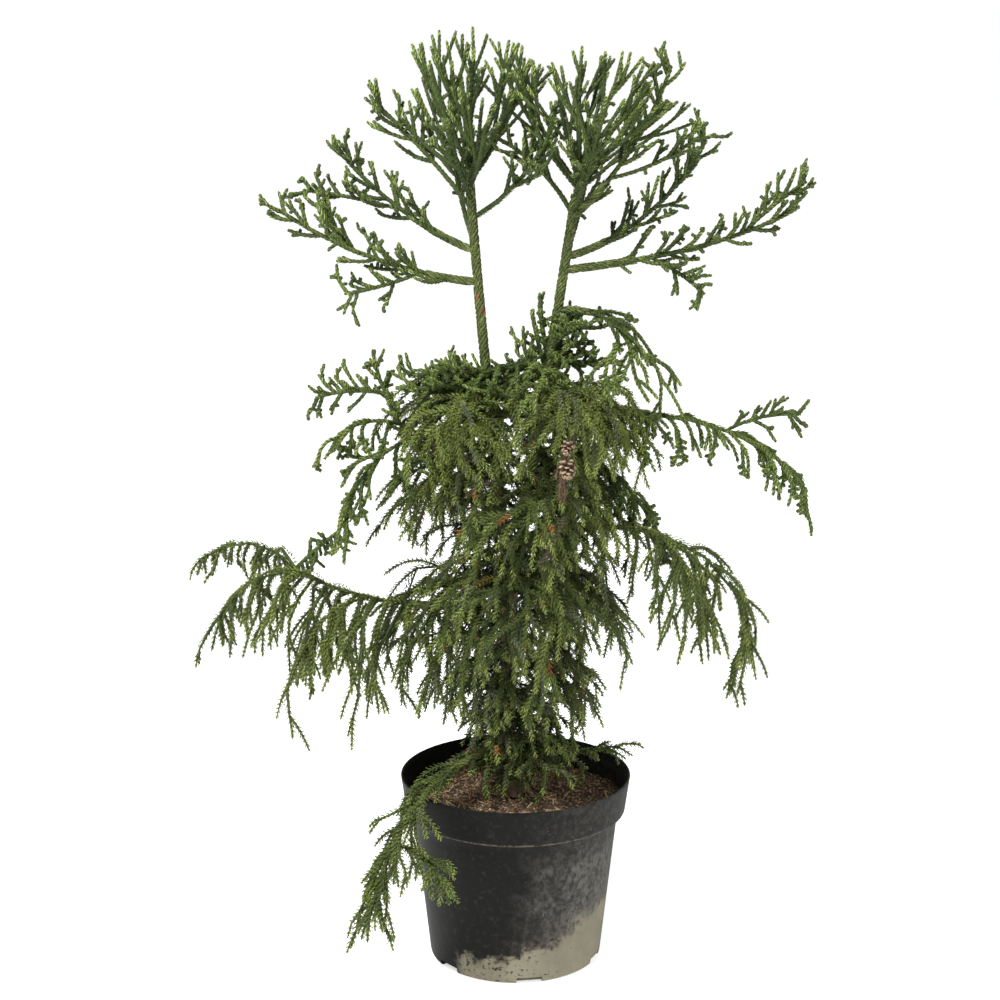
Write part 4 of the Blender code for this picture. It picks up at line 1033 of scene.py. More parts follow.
def pot_material(settings):
    """Black plastic, a grey bloom to the right, and a mottled lime mark low on the front."""
    material = bpy.data.materials.new("nursery_plastic")
    material.use_nodes = True
    nodes, links = material.node_tree.nodes, material.node_tree.links
    shader = nodes["Principled BSDF"]
    shader.inputs["Specular IOR Level"].default_value = 0.11
    place = nodes.new("ShaderNodeTexCoord")
    apart = nodes.new("ShaderNodeSeparateXYZ")
    links.new(place.outputs["Object"], apart.inputs[0])
    x, y, z = apart.outputs

    def noise(scale, detail, rough=0.55):
        node = nodes.new("ShaderNodeTexNoise")
        node.inputs["Scale"].default_value = scale
        node.inputs["Detail"].default_value = detail
        node.inputs["Roughness"].default_value = rough
        links.new(place.outputs["Object"], node.inputs["Vector"])
        return node.outputs["Fac"]

    def ramp(value, low, high):
        node = nodes.new("ShaderNodeMapRange")
        node.interpolation_type = "SMOOTHSTEP"
        node.inputs["From Min"].default_value = low
        node.inputs["From Max"].default_value = high
        links.new(value, node.inputs["Value"])
        return node.outputs["Result"]

    def mix(fraction, first, second):
        node = nodes.new("ShaderNodeMix")
        node.data_type = "RGBA"
        links.new(fraction, node.inputs["Factor"])
        for slot, value in ((6, first), (7, second)):
            if isinstance(value, tuple):
                node.inputs[slot].default_value = (*value, 1.0)
            else:
                links.new(value, node.inputs[slot])
        return node.outputs[2]

    def calc(kind, first, second=None):
        return math_node(nodes, links, kind, first, second)

    patches = noise(34.0, 5.0, 0.65)
    fine = noise(160.0, 4.0, 0.6)
    edge = calc("ADD", calc("MULTIPLY", calc("MAXIMUM", x, 0.0), 0.44), 0.033)
    rough_edge = calc("ADD", edge, calc("MULTIPLY", calc("SUBTRACT", patches, 0.5), 0.060))
    rough_edge = calc("ADD", rough_edge, calc("MULTIPLY", calc("SUBTRACT", fine, 0.5), 0.022))
    under = ramp(calc("SUBTRACT", rough_edge, z), -0.004, 0.010)
    front = ramp(calc("MULTIPLY", y, -1.0), -0.02, 0.04)
    front = calc("MULTIPLY", front, ramp(calc("ADD", x, calc("MULTIPLY", fine, 0.012)), -0.062, -0.052))
    worn = ramp(calc("ADD", fine, calc("MULTIPLY", calc("MAXIMUM", x, 0.0), 1.5)), 0.30, 0.46)
    lime = calc("MULTIPLY", calc("MULTIPLY", under, front), worn)
    streaks = nodes.new("ShaderNodeMapping")
    streaks.inputs["Scale"].default_value = (1.0, 1.0, 0.85)
    links.new(place.outputs["Object"], streaks.inputs["Vector"])
    wiped = nodes.new("ShaderNodeTexNoise")
    wiped.inputs["Scale"].default_value = 150.0
    wiped.inputs["Detail"].default_value = 9.0
    wiped.inputs["Roughness"].default_value = 0.72
    links.new(streaks.outputs["Vector"], wiped.inputs["Vector"])
    bloom = ramp(calc("ADD", x, calc("MULTIPLY", patches, 0.10)), 0.035, 0.150)
    bloom = calc("MULTIPLY", bloom, calc("ADD", 0.22, ramp(wiped.outputs["Fac"], 0.38, 0.68)))
    bloom = calc("MULTIPLY", bloom, calc("ADD", 0.32, ramp(calc("SUBTRACT", 0.178, z), 0.0, 0.06)))
    # A thin pale line along the band's lower edge: painted highlight, and wear
    edge_wear_and_highlight = ramp(calc("ABSOLUTE", calc("SUBTRACT", z, POT_HEIGHT - BAND_HEIGHT)), 0.0016, 0.0002)
    bloom = calc("MAXIMUM", bloom, calc("MULTIPLY", edge_wear_and_highlight, ramp(fine, 0.35, 0.6)))
    specks = calc("MULTIPLY", ramp(noise(420.0, 2.0, 0.5), 0.69, 0.78), ramp(x, -0.02, 0.06))
    haze = calc("MULTIPLY", ramp(calc("SUBTRACT", rough_edge, z), -0.034, 0.006), ramp(x, -0.04, 0.07))
    clean = mix(calc("MULTIPLY", haze, ramp(fine, 0.36, 0.62)), tuple(settings.plastic), (0.085, 0.066, 0.050))
    scuffed = mix(calc("MULTIPLY", ramp(fine, 0.52, 0.72), 0.35), clean, (0.030, 0.029, 0.026))
    dusty = mix(bloom, scuffed, tuple(settings.bloom))
    speckled = mix(specks, dusty, (0.16, 0.155, 0.14))
    tinted = mix(ramp(patches, 0.35, 0.7), (0.166, 0.156, 0.112), tuple(settings.lime))
    tinted = mix(ramp(calc("SUBTRACT", fine, calc("MULTIPLY", x, 0.9)), 0.60, 0.72), tinted, (0.085, 0.072, 0.050))
    links.new(mix(lime, speckled, tinted), shader.inputs["Base Color"])
    gloss = nodes.new("ShaderNodeMapRange")
    gloss.inputs["To Min"].default_value = 0.55
    gloss.inputs["To Max"].default_value = 0.86
    links.new(calc("MAXIMUM", lime, bloom), gloss.inputs["Value"])
    links.new(gloss.outputs["Result"], shader.inputs["Roughness"])
    relief = nodes.new("ShaderNodeBump")
    relief.inputs["Strength"].default_value = 0.25
    relief.inputs["Distance"].default_value = 0.0006
    links.new(fine, relief.inputs["Height"])
    links.new(relief.outputs["Normal"], shader.inputs["Normal"])
    return material


def show(item, material, slot, *nodes):
    """Dress a finished piece, fix it to the body and hide the solids that it stands for."""
    item.data.materials.clear()
    item.data.materials.append(material)
    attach(item, BODY)
    if nodes:
        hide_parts(*nodes)
    return item


# Pot and soil


def inner_wall(z):
    """Radius of the pot's inner wall at a height."""
    band_foot = POT_HEIGHT - BAND_HEIGHT
    if z >= band_foot:
        return BAND_FOOT_RADIUS + (RIM_RADIUS - BAND_FOOT_RADIUS) * (z - band_foot) / BAND_HEIGHT - POT_WALL
    return BASE_RADIUS + (BODY_TOP_RADIUS - BASE_RADIUS) * z / band_foot - POT_WALL


def turned_surface(name, profile, segments, wobble=None):
    """A profile of radius and height carried round the Z axis, closed at its two axis points."""
    radius, height = np.array(profile).T
    angle = np.arange(segments) * math.tau / segments
    ring_r = radius[1:-1, None] * np.ones(segments)
    ring_z = height[1:-1, None] * np.ones(segments)
    if wobble is not None:
        ring_z = ring_z + wobble(ring_r, angle[None, :])
    rings = len(ring_r)
    points = np.stack([ring_r * np.cos(angle), ring_r * np.sin(angle), ring_z], axis=-1).reshape(-1, 3)
    points = np.vstack([points, (0, 0, height[0]), (0, 0, height[-1])])
    ring = np.arange(rings - 1)[:, None] * segments
    spot = np.arange(segments)[None, :]
    after = (spot + 1) % segments
    a, b = ring + spot, ring + after
    c, d = b + segments, a + segments
    first, last = rings * segments, rings * segments + 1
    end = (rings - 1) * segments
    faces = np.concatenate([
        np.stack([a, d, c], axis=-1).reshape(-1, 3), np.stack([a, c, b], axis=-1).reshape(-1, 3),
        np.stack([np.full(segments, first), spot[0], after[0]], axis=-1),
        np.stack([np.full(segments, last), end + after[0], end + spot[0]], axis=-1),
    ])
    return mesh_from(name, points, faces)


def cut_notches(pot):
    """Take the drain notches out of the pot's bottom edge."""
    width = 2 * BASE_RADIUS * math.sin(math.radians(NOTCH_ANGLE / 2))
    for index in range(NOTCH_COUNT):
        angle = math.radians(NOTCH_FIRST + index * 360 / NOTCH_COUNT)
        place = (0.096 * math.cos(angle), 0.096 * math.sin(angle), 0.0)
        bpy.ops.mesh.primitive_cube_add(size=1, location=place, rotation=(0, 0, angle))
        box = bpy.context.active_object
        box.scale = (0.016, width, 2 * NOTCH_HEIGHT)
        bpy.context.view_layer.update()
        cut = pot.modifiers.new("notch", "BOOLEAN")
        cut.operation = "DIFFERENCE"
        cut.solver = "EXACT"
        cut.object = box
        graph = bpy.context.evaluated_depsgraph_get()
        mesh = bpy.data.meshes.new_from_object(pot.evaluated_get(graph))
        pot.modifiers.clear()
        pot.data = mesh
        bpy.data.objects.remove(box, do_unlink=True)


class CEDAR_OT_pot(bpy.types.Operator):
    """Build the nursery pot"""

    bl_idname = "cedar.pot"
    bl_label = "Build Pot"

    def execute(self, context):
        settings = context.scene.cedar_pot
        band_foot = POT_HEIGHT - BAND_HEIGHT
        lip = POT_WALL * 0.5
        turn = [math.radians(step) for step in (0, 30, 60, 90, 120, 150, 180)]
        rim = [
            (RIM_RADIUS - lip - lip * math.cos(a), POT_HEIGHT - lip + lip * math.sin(a)) for a in turn
        ]
        profile = [(0.0, POT_FLOOR), (inner_wall(POT_FLOOR) - 0.004, POT_FLOOR)]
        profile += [(inner_wall(POT_FLOOR), POT_FLOOR + 0.004)]
        profile += [(inner_wall(z), z) for z in np.linspace(0.02, band_foot - 0.003, 8)]
        profile += [(inner_wall(z), z) for z in np.linspace(band_foot, POT_HEIGHT - lip * 1.5, 5)]
        profile += rim
        profile += [
            (RIM_RADIUS - (RIM_RADIUS - BAND_FOOT_RADIUS) * share, POT_HEIGHT - lip - (BAND_HEIGHT - lip) * share)
            for share in (0.1, 0.3, 0.5, 0.7, 0.9, 0.975)
        ]
        profile += [
            (BAND_FOOT_RADIUS - 0.0006, band_foot - 0.0006), (BAND_FOOT_RADIUS - 0.002, band_foot - 0.001),
            (BODY_TOP_RADIUS + 0.0012, band_foot - 0.0014), (BODY_TOP_RADIUS, band_foot - 0.003),
        ]
        profile += [
            (BODY_TOP_RADIUS + (BASE_RADIUS - BODY_TOP_RADIUS) * share, band_foot - 0.003 - (band_foot - 0.008) * share)
            for share in np.linspace(0.08, 1, 14)
        ]
        profile += [
            (BASE_RADIUS - 0.0004, 0.0028), (BASE_RADIUS - 0.0012, 0.0010), (BASE_RADIUS - 0.0030, 0.0),
            (0.08, 0.0), (0.0, 0.0),
        ]
        pot = turned_surface("pot_shell", profile, settings.segments)
        cut_notches(pot)
        pot.data.shade_smooth()
        pot.data.set_sharp_from_angle(angle=math.radians(42))
        show(pot, pot_material(settings), "pot", "pot")
        return {"FINISHED"}


def soil_height(x, y):
    """Height of the soil: a low mound with soft lumps, as a sum of waves."""
    radius = np.hypot(x, y)
    fall = SOIL_LEVEL - SOIL_FALL * np.clip((radius - 0.034) / 0.085, 0, 1)
    lumps = 0.0012 * np.sin(x * 210 + 1.3) * np.cos(y * 190 + 0.4) + 0.0008 * np.sin(x * 420 + y * 370)
    return fall + lumps - 0.001


class CEDAR_OT_soil(bpy.types.Operator):
    """Build the soil with its bark crumbs and straw"""

    bl_idname = "cedar.soil"
    bl_label = "Build Soil"

    def execute(self, context):
        settings = context.scene.cedar_pot
        edge = inner_wall(SOIL_LEVEL) - 0.0004
        rings = [(edge * share, SOIL_LEVEL) for share in np.linspace(0.02, 1, 60)]
        foot = [(inner_wall(z) - 0.0004, z) for z in (0.176, 0.1725)]
        foot += [(inner_wall(0.165) - 0.0004, 0.165), (inner_wall(0.02) - 0.0004, 0.02)]
        bottom = [(inner_wall(POT_FLOOR) - 0.005, POT_FLOOR + 0.0003), (0.0, POT_FLOOR + 0.0003)]
        profile = [(0.0, SOIL_LEVEL)] + rings + foot + bottom
        profile = [(r, z) for r, z in reversed(profile)]

        def wobble(radius, angle):
            top = soil_height(radius * np.cos(angle), radius * np.sin(angle)) - SOIL_LEVEL
            count = len(rings)
            lift = np.zeros_like(radius)
            lift[-count:] = top[-count:]
            return lift

        bed = turned_surface("soil_bed", profile, 160, wobble)
        show(bed, toned("peat", tuple(settings.soil), 90.0, 0.5, 1.6, 0.95, 0.9, 900.0), "soil", "soil")
        draw = np.random.default_rng(41)
        crumbs = self.chips(draw, settings.crumbs, edge, (0.0015, 0.0045), (0.6, 0.45))
        show(
            mesh_from("bark_crumbs", *crumbs, smooth=False),
            toned("bark_crumbs", tuple(settings.crumb), 400.0, 0.25, 1.5, 0.9, 0.5, 1200.0), "soil",
        )
        pale = self.chips(draw, 900, edge, (0.0014, 0.0046), (0.55, 0.40))
        show(
            mesh_from("pale_crumbs", *pale, smooth=False),
            toned("pale_crumbs", (0.46, 0.31, 0.175), 300.0, 0.4, 1.3, 0.9, 0.4, 1200.0), "soil",
        )
        straws = self.chips(draw, 300, edge, (0.006, 0.024), (0.07, 0.045))
        show(
            mesh_from("straw_bits", *straws, smooth=False),
            toned("straw", tuple(settings.straw), 200.0, 0.6, 1.3, 0.8), "soil",
        )
        return {"FINISHED"}

    @staticmethod
    def chips(draw, count, edge, sizes, shape):
        """Eight-cornered chips lying at all turns on the soil, each corner moved a little."""
        corner = np.array([(x, y, z) for x in (-1, 1) for y in (-1, 1) for z in (-1, 1)], float) / 2
        radius = (edge - 0.003) * np.sqrt(draw.uniform(0.0, 1, count))
        angle = draw.uniform(0, math.tau, count)
        x, y = radius * np.cos(angle), radius * np.sin(angle)
        size = draw.uniform(*sizes, count) * draw.uniform(0.5, 1.0, count)
        body = corner[None] * size[:, None, None] * np.array([1.0, shape[0], shape[1]])
        body = body * draw.uniform(0.65, 1.25, body.shape)
        turn = draw.uniform(0, math.tau, count)
        tilt = draw.uniform(-0.6, 0.6, count)
        ct, st, cn, sn = np.cos(turn), np.sin(turn), np.cos(tilt), np.sin(tilt)
        bx = body[..., 0] * cn[:, None] + body[..., 2] * sn[:, None]
        bz = -body[..., 0] * sn[:, None] + body[..., 2] * cn[:, None]
        by = body[..., 1]
        points = np.stack([
            bx * ct[:, None] - by * st[:, None] + x[:, None],
            bx * st[:, None] + by * ct[:, None] + y[:, None],
            bz + (soil_height(x, y) + size * shape[1] * 0.3)[:, None],
        ], axis=-1)
        faces = np.array([
            (0, 1, 3), (0, 3, 2), (4, 6, 7), (4, 7, 5), (0, 4, 5), (0, 5, 1),
            (2, 3, 7), (2, 7, 6), (0, 2, 6), (0, 6, 4), (1, 5, 7), (1, 7, 3),
        ])
        offset = np.arange(count)[:, None, None] * 8
        return points.reshape(-1, 3), (faces[None] + offset).reshape(-1, 3)


# Trunk, leaders and boughs


def bark_relief(depth, strands, twist):
    """Ridges that wind round a limb: a sum of waves in the angle, sheared along the length."""

    def relief(angle, along):
        wind = angle + twist * along
        ridges = np.abs(np.sin(wind * strands / 2)) - 0.6
        fine = 0.45 * np.sin(wind * (3 * strands + 1) + 40 * along) * np.cos(along * 310 + 2 * angle)
        return depth * (ridges + fine)

    return relief


def root_relief(angle, along):
    """Root shoulders: five lobes that fade upwards, over fibrous bark."""
    fibres = 0.00045 * np.sin(angle * 17 + 60 * along) * np.cos(along * 95 + 3 * angle)
    strips = 0.0007 * np.abs(np.sin(angle * 4.5 + 9 * along + np.sin(along * 40)))
    lobes = 0.0065 * np.exp(-along / 0.009) * (0.5 + 0.5 * np.cos(5 * angle + 0.6))
    return fibres + strips + lobes - 0.0004


class CEDAR_OT_limbs(bpy.types.Operator):
    """Build the trunk, the leaders and the boughs with the relief of their bark"""

    bl_idname = "cedar.limbs"
    bl_label = "Build Limbs"

    def execute(self, context):
        settings = context.scene.cedar_plant
        bark = toned("trunk_bark", tuple(settings.bark), 120.0, 0.45, 1.5, 0.9, 0.8, 700.0)
        green = toned("shoot_bark", tuple(settings.shoot_bark), 110.0, 0.55, 1.45, 0.7, 0.5, 900.0)
        brown = toned("bough_bark", (0.105, 0.080, 0.038), 110.0, 0.55, 1.4, 0.8, 0.6, 900.0)
        for limb in LIMBS:
            if limb.bare == 0:
                continue
            main = limb.parent is None or limb.name.startswith("leader")
            node = limb.name if main else "bough_" + limb.name
            reach = limb.length * limb.bare
            rings = max(12, int(reach / 0.0016))
            shares = np.linspace(0, limb.bare, rings)
            path = np.stack([at_share(PATHS[limb.name], share)[0] for share in shares])
            radii = limb_radii(limb, shares)
            if limb.parent is None:
                relief = root_relief
            elif main:
                relief = bark_relief(0.0010, 5, -120)
            else:
                relief = bark_relief(0.0006, 5, -120)
            sides = 64 if limb.parent is None else 28
            points, faces = tube_grid(path[None], radii[None], sides, relief)
            low = limb.parent == "trunk" and not main
            material = bark if limb.parent is None else brown if low else green
            slot = "bark" if limb.parent is None else "shoot_bark"
            show(mesh_from("bark_" + node, points, faces), material, slot, node)
        return {"FINISHED"}


# Foliage


def clear_of_cones(paths):
    """True where a shoot doesn't hang right before a cone."""
    free = np.ones(len(paths), bool)
    for centre, _, _ in cone_places()[0]:
        apart = paths - centre
        ahead = apart @ CONE_VIEW
        aside = np.linalg.norm(apart - ahead[..., None] * CONE_VIEW, axis=-1)
        free &= ~((aside < CONE_CLEAR) & (ahead > 0)).any(axis=1)
    return free


def kept_shoots(paths):
    """The shoots that keep off the pot, the soil and the cones and inside the plant's reach."""
    return paths[clear_of_pot(paths) & inside_frame(paths) & clear_of_cones(paths)]


def stem_cores(stems):
    """The stems themselves, from where their bare foot ends."""
    return np.stack([
        np.stack([at_share(stem.path, share)[0] for share in np.linspace(stem.begin, 1, 9)])
        for stem in stems
    ])


def path_radius(paths):
    """How far the middle of each path lies from the plant's axis."""
    middle = paths[:, paths.shape[1] // 2]
    return np.hypot(middle[:, 0], middle[:, 1])


def deal_tones(paths, count, inner, outer, glow, draw):
    """Tone of each shoot: the further out from the trunk, the lighter, with some chance; the darker inner tones are
    painted shade.

    glow adds painted light to it round a set height, on the plant's front.
    """
    across = path_radius(paths)
    middle = paths[:, paths.shape[1] // 2]
    # Darker towards the trunk: painted shade inside the plant, mixed with chance
    score = 0.50 * np.clip((across - inner) / (outer - inner), 0, 1) + 0.60 * draw.uniform(0, 1, len(paths))
    # Painted light on the plant's front, fading away from a set height
    fade = np.exp(-((middle[:, 2] - PAINTED_LIGHT_HEIGHT) / PAINTED_LIGHT_SPAN) ** 2)
    score = score + glow * fade * np.clip(-middle[:, 1] / PAINTED_LIGHT_FRONT, 0, 1)
    return np.clip((score * count).astype(int), 0, count - 1)


def split_mesh(name, points, faces, corners, each, material):
    """Needles as joined pieces of under 190,000 faces."""
    total = len(points) // corners
    pieces = max(1, math.ceil(len(faces) / 190000))
    for part, members in enumerate(np.array_split(np.arange(total), pieces)):
        low, high = members[0], members[-1] + 1
        item = mesh_from(
            f"{name}_{part + 1}", points[low * corners:high * corners],
            faces[low * each:high * each] - low * corners,
        )
        show(item, material, "foliage")


def dress_shoots(prefix, paths, girths, spec, tones, masses, draw):
    """Cores and needles of shoots, dealt out by spray to pieces of one tone each.

    girths holds each shoot's radius under its needles at its foot and at its tip.
    """
    along = np.array(CORE_SHARES)[None]
    owner = np.repeat(np.arange(len(paths)), len(CORE_SHARES))
    spine = places_on(paths, owner, np.tile(CORE_SHARES, len(paths)))[0].reshape(len(paths), -1, 3)
    rings = (girths[:, :1] * (1 - along) + girths[:, 1:] * along) * np.where(along < 1, 1.0, TIP_SIZE)
    points, faces = tube_grid(spine, rings, spec["core_sides"])
    core = mesh_from(prefix + "_cores", points, faces)
    show(core, toned(prefix + "_cores", spec["core_colour"], 60.0, 0.6, 1.4, 0.7), "foliage", *masses)
    place, ahead, outward, owner, share = needle_places(paths, spec["spacing"], spec["twist"], draw)
    left = (1 - share) * path_lengths(paths)[owner]
    near = np.clip(0.22 + 0.78 * left / spec["closing"], 0.22, 1.0)
    girth = girths[owner, 0] * (1 - share) + girths[owner, 1] * share
    shade = deal_tones(paths, len(tones) - 1, *spec["tone_reach"], spec["glow"], draw)
    tips = np.minimum(spec["fresh"] * draw.uniform(0.3, 1.5, len(paths)), FRESH_SHARE * path_lengths(paths))
    fresh = left < tips[owner]
    group = np.where(fresh, len(tones) - 1, shade[owner])
    all_tones = list(tones)
    for name, base, chance, span in spec["spots"]:
        begin = draw.uniform(0.05, 0.95 - span, len(paths))
        picked = (draw.uniform(0, 1, len(paths)) < chance) & (path_radius(paths) < SPOT_RADIUS)
        group[picked[owner] & (share > begin[owner]) & (share < begin[owner] + span)] = len(all_tones)
        all_tones.append((name, base))
    outer = np.clip((np.hypot(place[:, 0], place[:, 1]) - CLOSE_RADIUS) / 0.05, 0, 1)
    stand = 1 - spec["closer"] * outer * np.clip((place[:, 2] - CLOSE_HEIGHT) / 0.08, 0, 1)
    corners = 3 * len(spec["needle"]) - (1 if spec["needle"][-1].keel else 2)
    for number, (name, base) in enumerate(all_tones):
        chosen = group == number
        if not chosen.any():
            continue
        points, faces = needle_mesh(
            place[chosen], ahead[chosen], outward[chosen], girth[chosen], near[chosen], stand[chosen],
            spec["lean"], spec["needle"], draw,
        )
        material = toned(f"{prefix}_{name}", base, 45.0, 0.60, 1.38, spec["roughness"], specular=0.25)
        split_mesh(
            f"{prefix}_needles_{name}", points, faces, corners, len(faces) // chosen.sum(), material
        )


def girths_of(stems, groups, core, draw):
    """Radii at foot and tip of the stems and then of each group of shoots, finer and finer."""
    rows = [np.array([(stem.thick - 0.0005, stem.thin) for stem in stems])]
    for paths, foot, tip in groups:
        size = draw.uniform(0.9, 1.12, len(paths))[:, None] * core
        rows.append(size * np.array([[foot, tip]]))
    return np.concatenate(rows)


class CEDAR_OT_cords(bpy.types.Operator):
    """Grow the upper shoots, like cords under twisted needles"""

    bl_idname = "cedar.cords"
    bl_label = "Grow Corded Shoots"

    def execute(self, context):
        settings = context.scene.cedar_plant
        draw = np.random.default_rng(11)
        stems = [stem for stem in bough_stems() if is_cord(stem)] + crown_stems()
        cores = stem_cores(stems)
        feet = [twigs_on(stem, FEET[stem.mass][0], stem.seed, 0.0) for stem in foot_stems() if is_cord(stem)]
        spokes = kept_shoots(np.concatenate([all_twigs(stem) for stem in stems if stem.habit == "fan"]))
        twigs = kept_shoots(np.concatenate([all_twigs(stem) for stem in stems if stem.habit != "fan"] + feet))
        fan_forks = kept_shoots(finer_shoots(spokes, FAN_FORKS, draw))
        fan_twins = kept_shoots(finer_shoots(fan_forks, FAN_TWINS, draw))
        forks = kept_shoots(finer_shoots(twigs, CORD_FORKS, draw))
        twins = kept_shoots(finer_shoots(forks, CORD_TWINS, draw))
        hooks = kept_shoots(finer_shoots(np.concatenate([cores, spokes, twigs]), CORD_HOOKS, draw))
        low = twigs[:, -1, 2] < KNOB_HEIGHT
        some = draw.uniform(0, 1, len(twigs)) < np.where(low, 0.6, 0.15)
        knobs = kept_shoots(finer_shoots(twigs[some], CORD_KNOBS, draw))
        paths = np.concatenate([cores, spokes, twigs, fan_forks, fan_twins, forks, twins, hooks, knobs])
        girths = girths_of(
            stems, (
                (spokes, 1.60, 1.02), (twigs, 1.42, 0.98), (fan_forks, 1.22, 1.0), (fan_twins, 1.08, 0.98),
                (forks, 1.14, 1.0), (twins, 1.0, 0.98), (hooks, 1.1, 1.25), (knobs, 1.2, 1.4),
            ), settings.cord_radius, draw
        )
        # glow sets the painted light on the front, and tone_reach where the painted shade inside the plant gives way to
        # lighter shoots
        spec = dict(
            core_colour=(0.036, 0.056, 0.010), core_sides=5, spacing=settings.cord_spacing,
            twist=CORD_TWIST, closing=0.0065, fresh=0.0120, tone_reach=(-0.04, 0.26), glow=0.95,
            needle=CORD_NEEDLE,
            roughness=0.55, closer=0.0, lean=CORD_LEAN, spots=(),
        )
        masses = sorted({stem.mass for stem in bough_stems()} - set(hanging_masses(False) + hanging_masses(True)))
        dress_shoots("cord", paths, girths, spec, CORD_TONES, masses, np.random.default_rng(12))
        return {"FINISHED"}


class CEDAR_OT_droops(bpy.types.Operator):
    """Grow the hanging shoots of the upper plant, cords with looser needles"""

    bl_idname = "cedar.droops"
    bl_label = "Grow Hanging Cords"

    def execute(self, context):
        settings = context.scene.cedar_plant
        draw = np.random.default_rng(16)
        stems = [stem for stem in bough_stems() if is_droop(stem)]
        cores = stem_cores(stems)
        feet = [
            twigs_on(stem, FEET[stem.mass][0], stem.seed, 0.0, 0.3) for stem in foot_stems() if is_droop(stem)
        ]
        twigs = kept_shoots(np.concatenate([all_twigs(stem) for stem in stems] + feet))
        forks = kept_shoots(finer_shoots(twigs, DROOP_FORKS, draw))
        both = np.concatenate([twigs, forks])
        some = draw.uniform(0, 1, len(both)) < 0.55
        knobs = kept_shoots(finer_shoots(both[some], DROOP_KNOBS, draw))
        paths = np.concatenate([cores, twigs, forks, knobs])
        girths = girths_of(
            stems, ((twigs, 1.35, 1.00), (forks, 1.08, 0.90), (knobs, 1.25, 1.25)), settings.cord_radius, draw
        )
        # glow sets the painted light on the front, and tone_reach where the painted shade inside the plant gives way to
        # lighter shoots
        spec = dict(
            core_colour=(0.034, 0.056, 0.011), core_sides=4, spacing=settings.cord_spacing, twist=DROOP_TWIST,
            closing=0.0060, fresh=0.0100, tone_reach=(0.00, 0.22), glow=0.20, needle=DROOP_NEEDLE,
            roughness=0.55, closer=0.0, lean=DROOP_LEAN, spots=(),
        )
        draw = np.random.default_rng(17)
        dress_shoots("droop", paths, girths, spec, DROOP_TONES, hanging_masses(True), draw)
        return {"FINISHED"}


def hanging_masses(drooping):
    """Names of the masses whose main stem hangs, either the corded or the comb-like ones."""
    mains = {}
    for stem in bough_stems() + tier_stems():
        mains.setdefault(stem.mass, stem)
    return sorted(
        mass for mass, stem in mains.items() if not is_cord(stem) and is_droop(stem) == drooping
    )


class CEDAR_OT_combs(bpy.types.Operator):
    """Grow the weeping shoots with their comb-like needles"""

    bl_idname = "cedar.combs"
    bl_label = "Grow Weeping Shoots"

    def execute(self, context):
        settings = context.scene.cedar_plant
        draw = np.random.default_rng(21)
        stems = [
            stem for stem in bough_stems() + tier_stems() if not is_cord(stem) and not is_droop(stem)
        ] + between_stems() + front_stems()
        cores = stem_cores(stems)
        feet = [
            twigs_on(stem, FEET[stem.mass][0], stem.seed, 0.0, 0.3) for stem in foot_stems()
            if not is_cord(stem) and not is_droop(stem)
        ]
        tiers = [all_twigs(stem) for stem in stems if stem.mass.startswith("foliage_column")]
        others = [
            all_twigs(stem) for stem in stems
            if stem.mass not in ROPES and not stem.mass.startswith("foliage_column")
        ]
        thick = [all_twigs(stem) for stem in stems if stem.mass in ROPES]
        twigs = kept_shoots(np.concatenate([within_skirt(np.concatenate(tiers))] + others + feet))
        forks = kept_shoots(finer_shoots(twigs, COMB_FORKS, draw))
        ropes = kept_shoots(np.concatenate(thick))
        strands = kept_shoots(finer_shoots(ropes, COMB_FORKS, draw))
        paths = np.concatenate([cores, twigs, forks, ropes, strands])
        girths = girths_of(
            stems, ((twigs, 1.30, 0.60), (forks, 1.0, 0.55), (ropes, 1.75, 0.80), (strands, 1.35, 0.65)),
            settings.comb_radius, draw,
        )
        # glow sets the painted light on the front, and tone_reach where the painted shade inside the plant gives way to
        # lighter shoots
        spec = dict(
            core_colour=(0.040, 0.056, 0.014), core_sides=3, spacing=settings.comb_spacing, twist=COMB_TWIST,
            closing=0.0060, fresh=0.0130, tone_reach=(0.02, 0.18), glow=0.50, needle=COMB_NEEDLE,
            roughness=0.6, closer=0.30, lean=COMB_LEAN, spots=COMB_SPOTS,
        )
        dress_shoots("comb", paths, girths, spec, COMB_TONES, hanging_masses(False), np.random.default_rng(22))
        return {"FINISHED"}


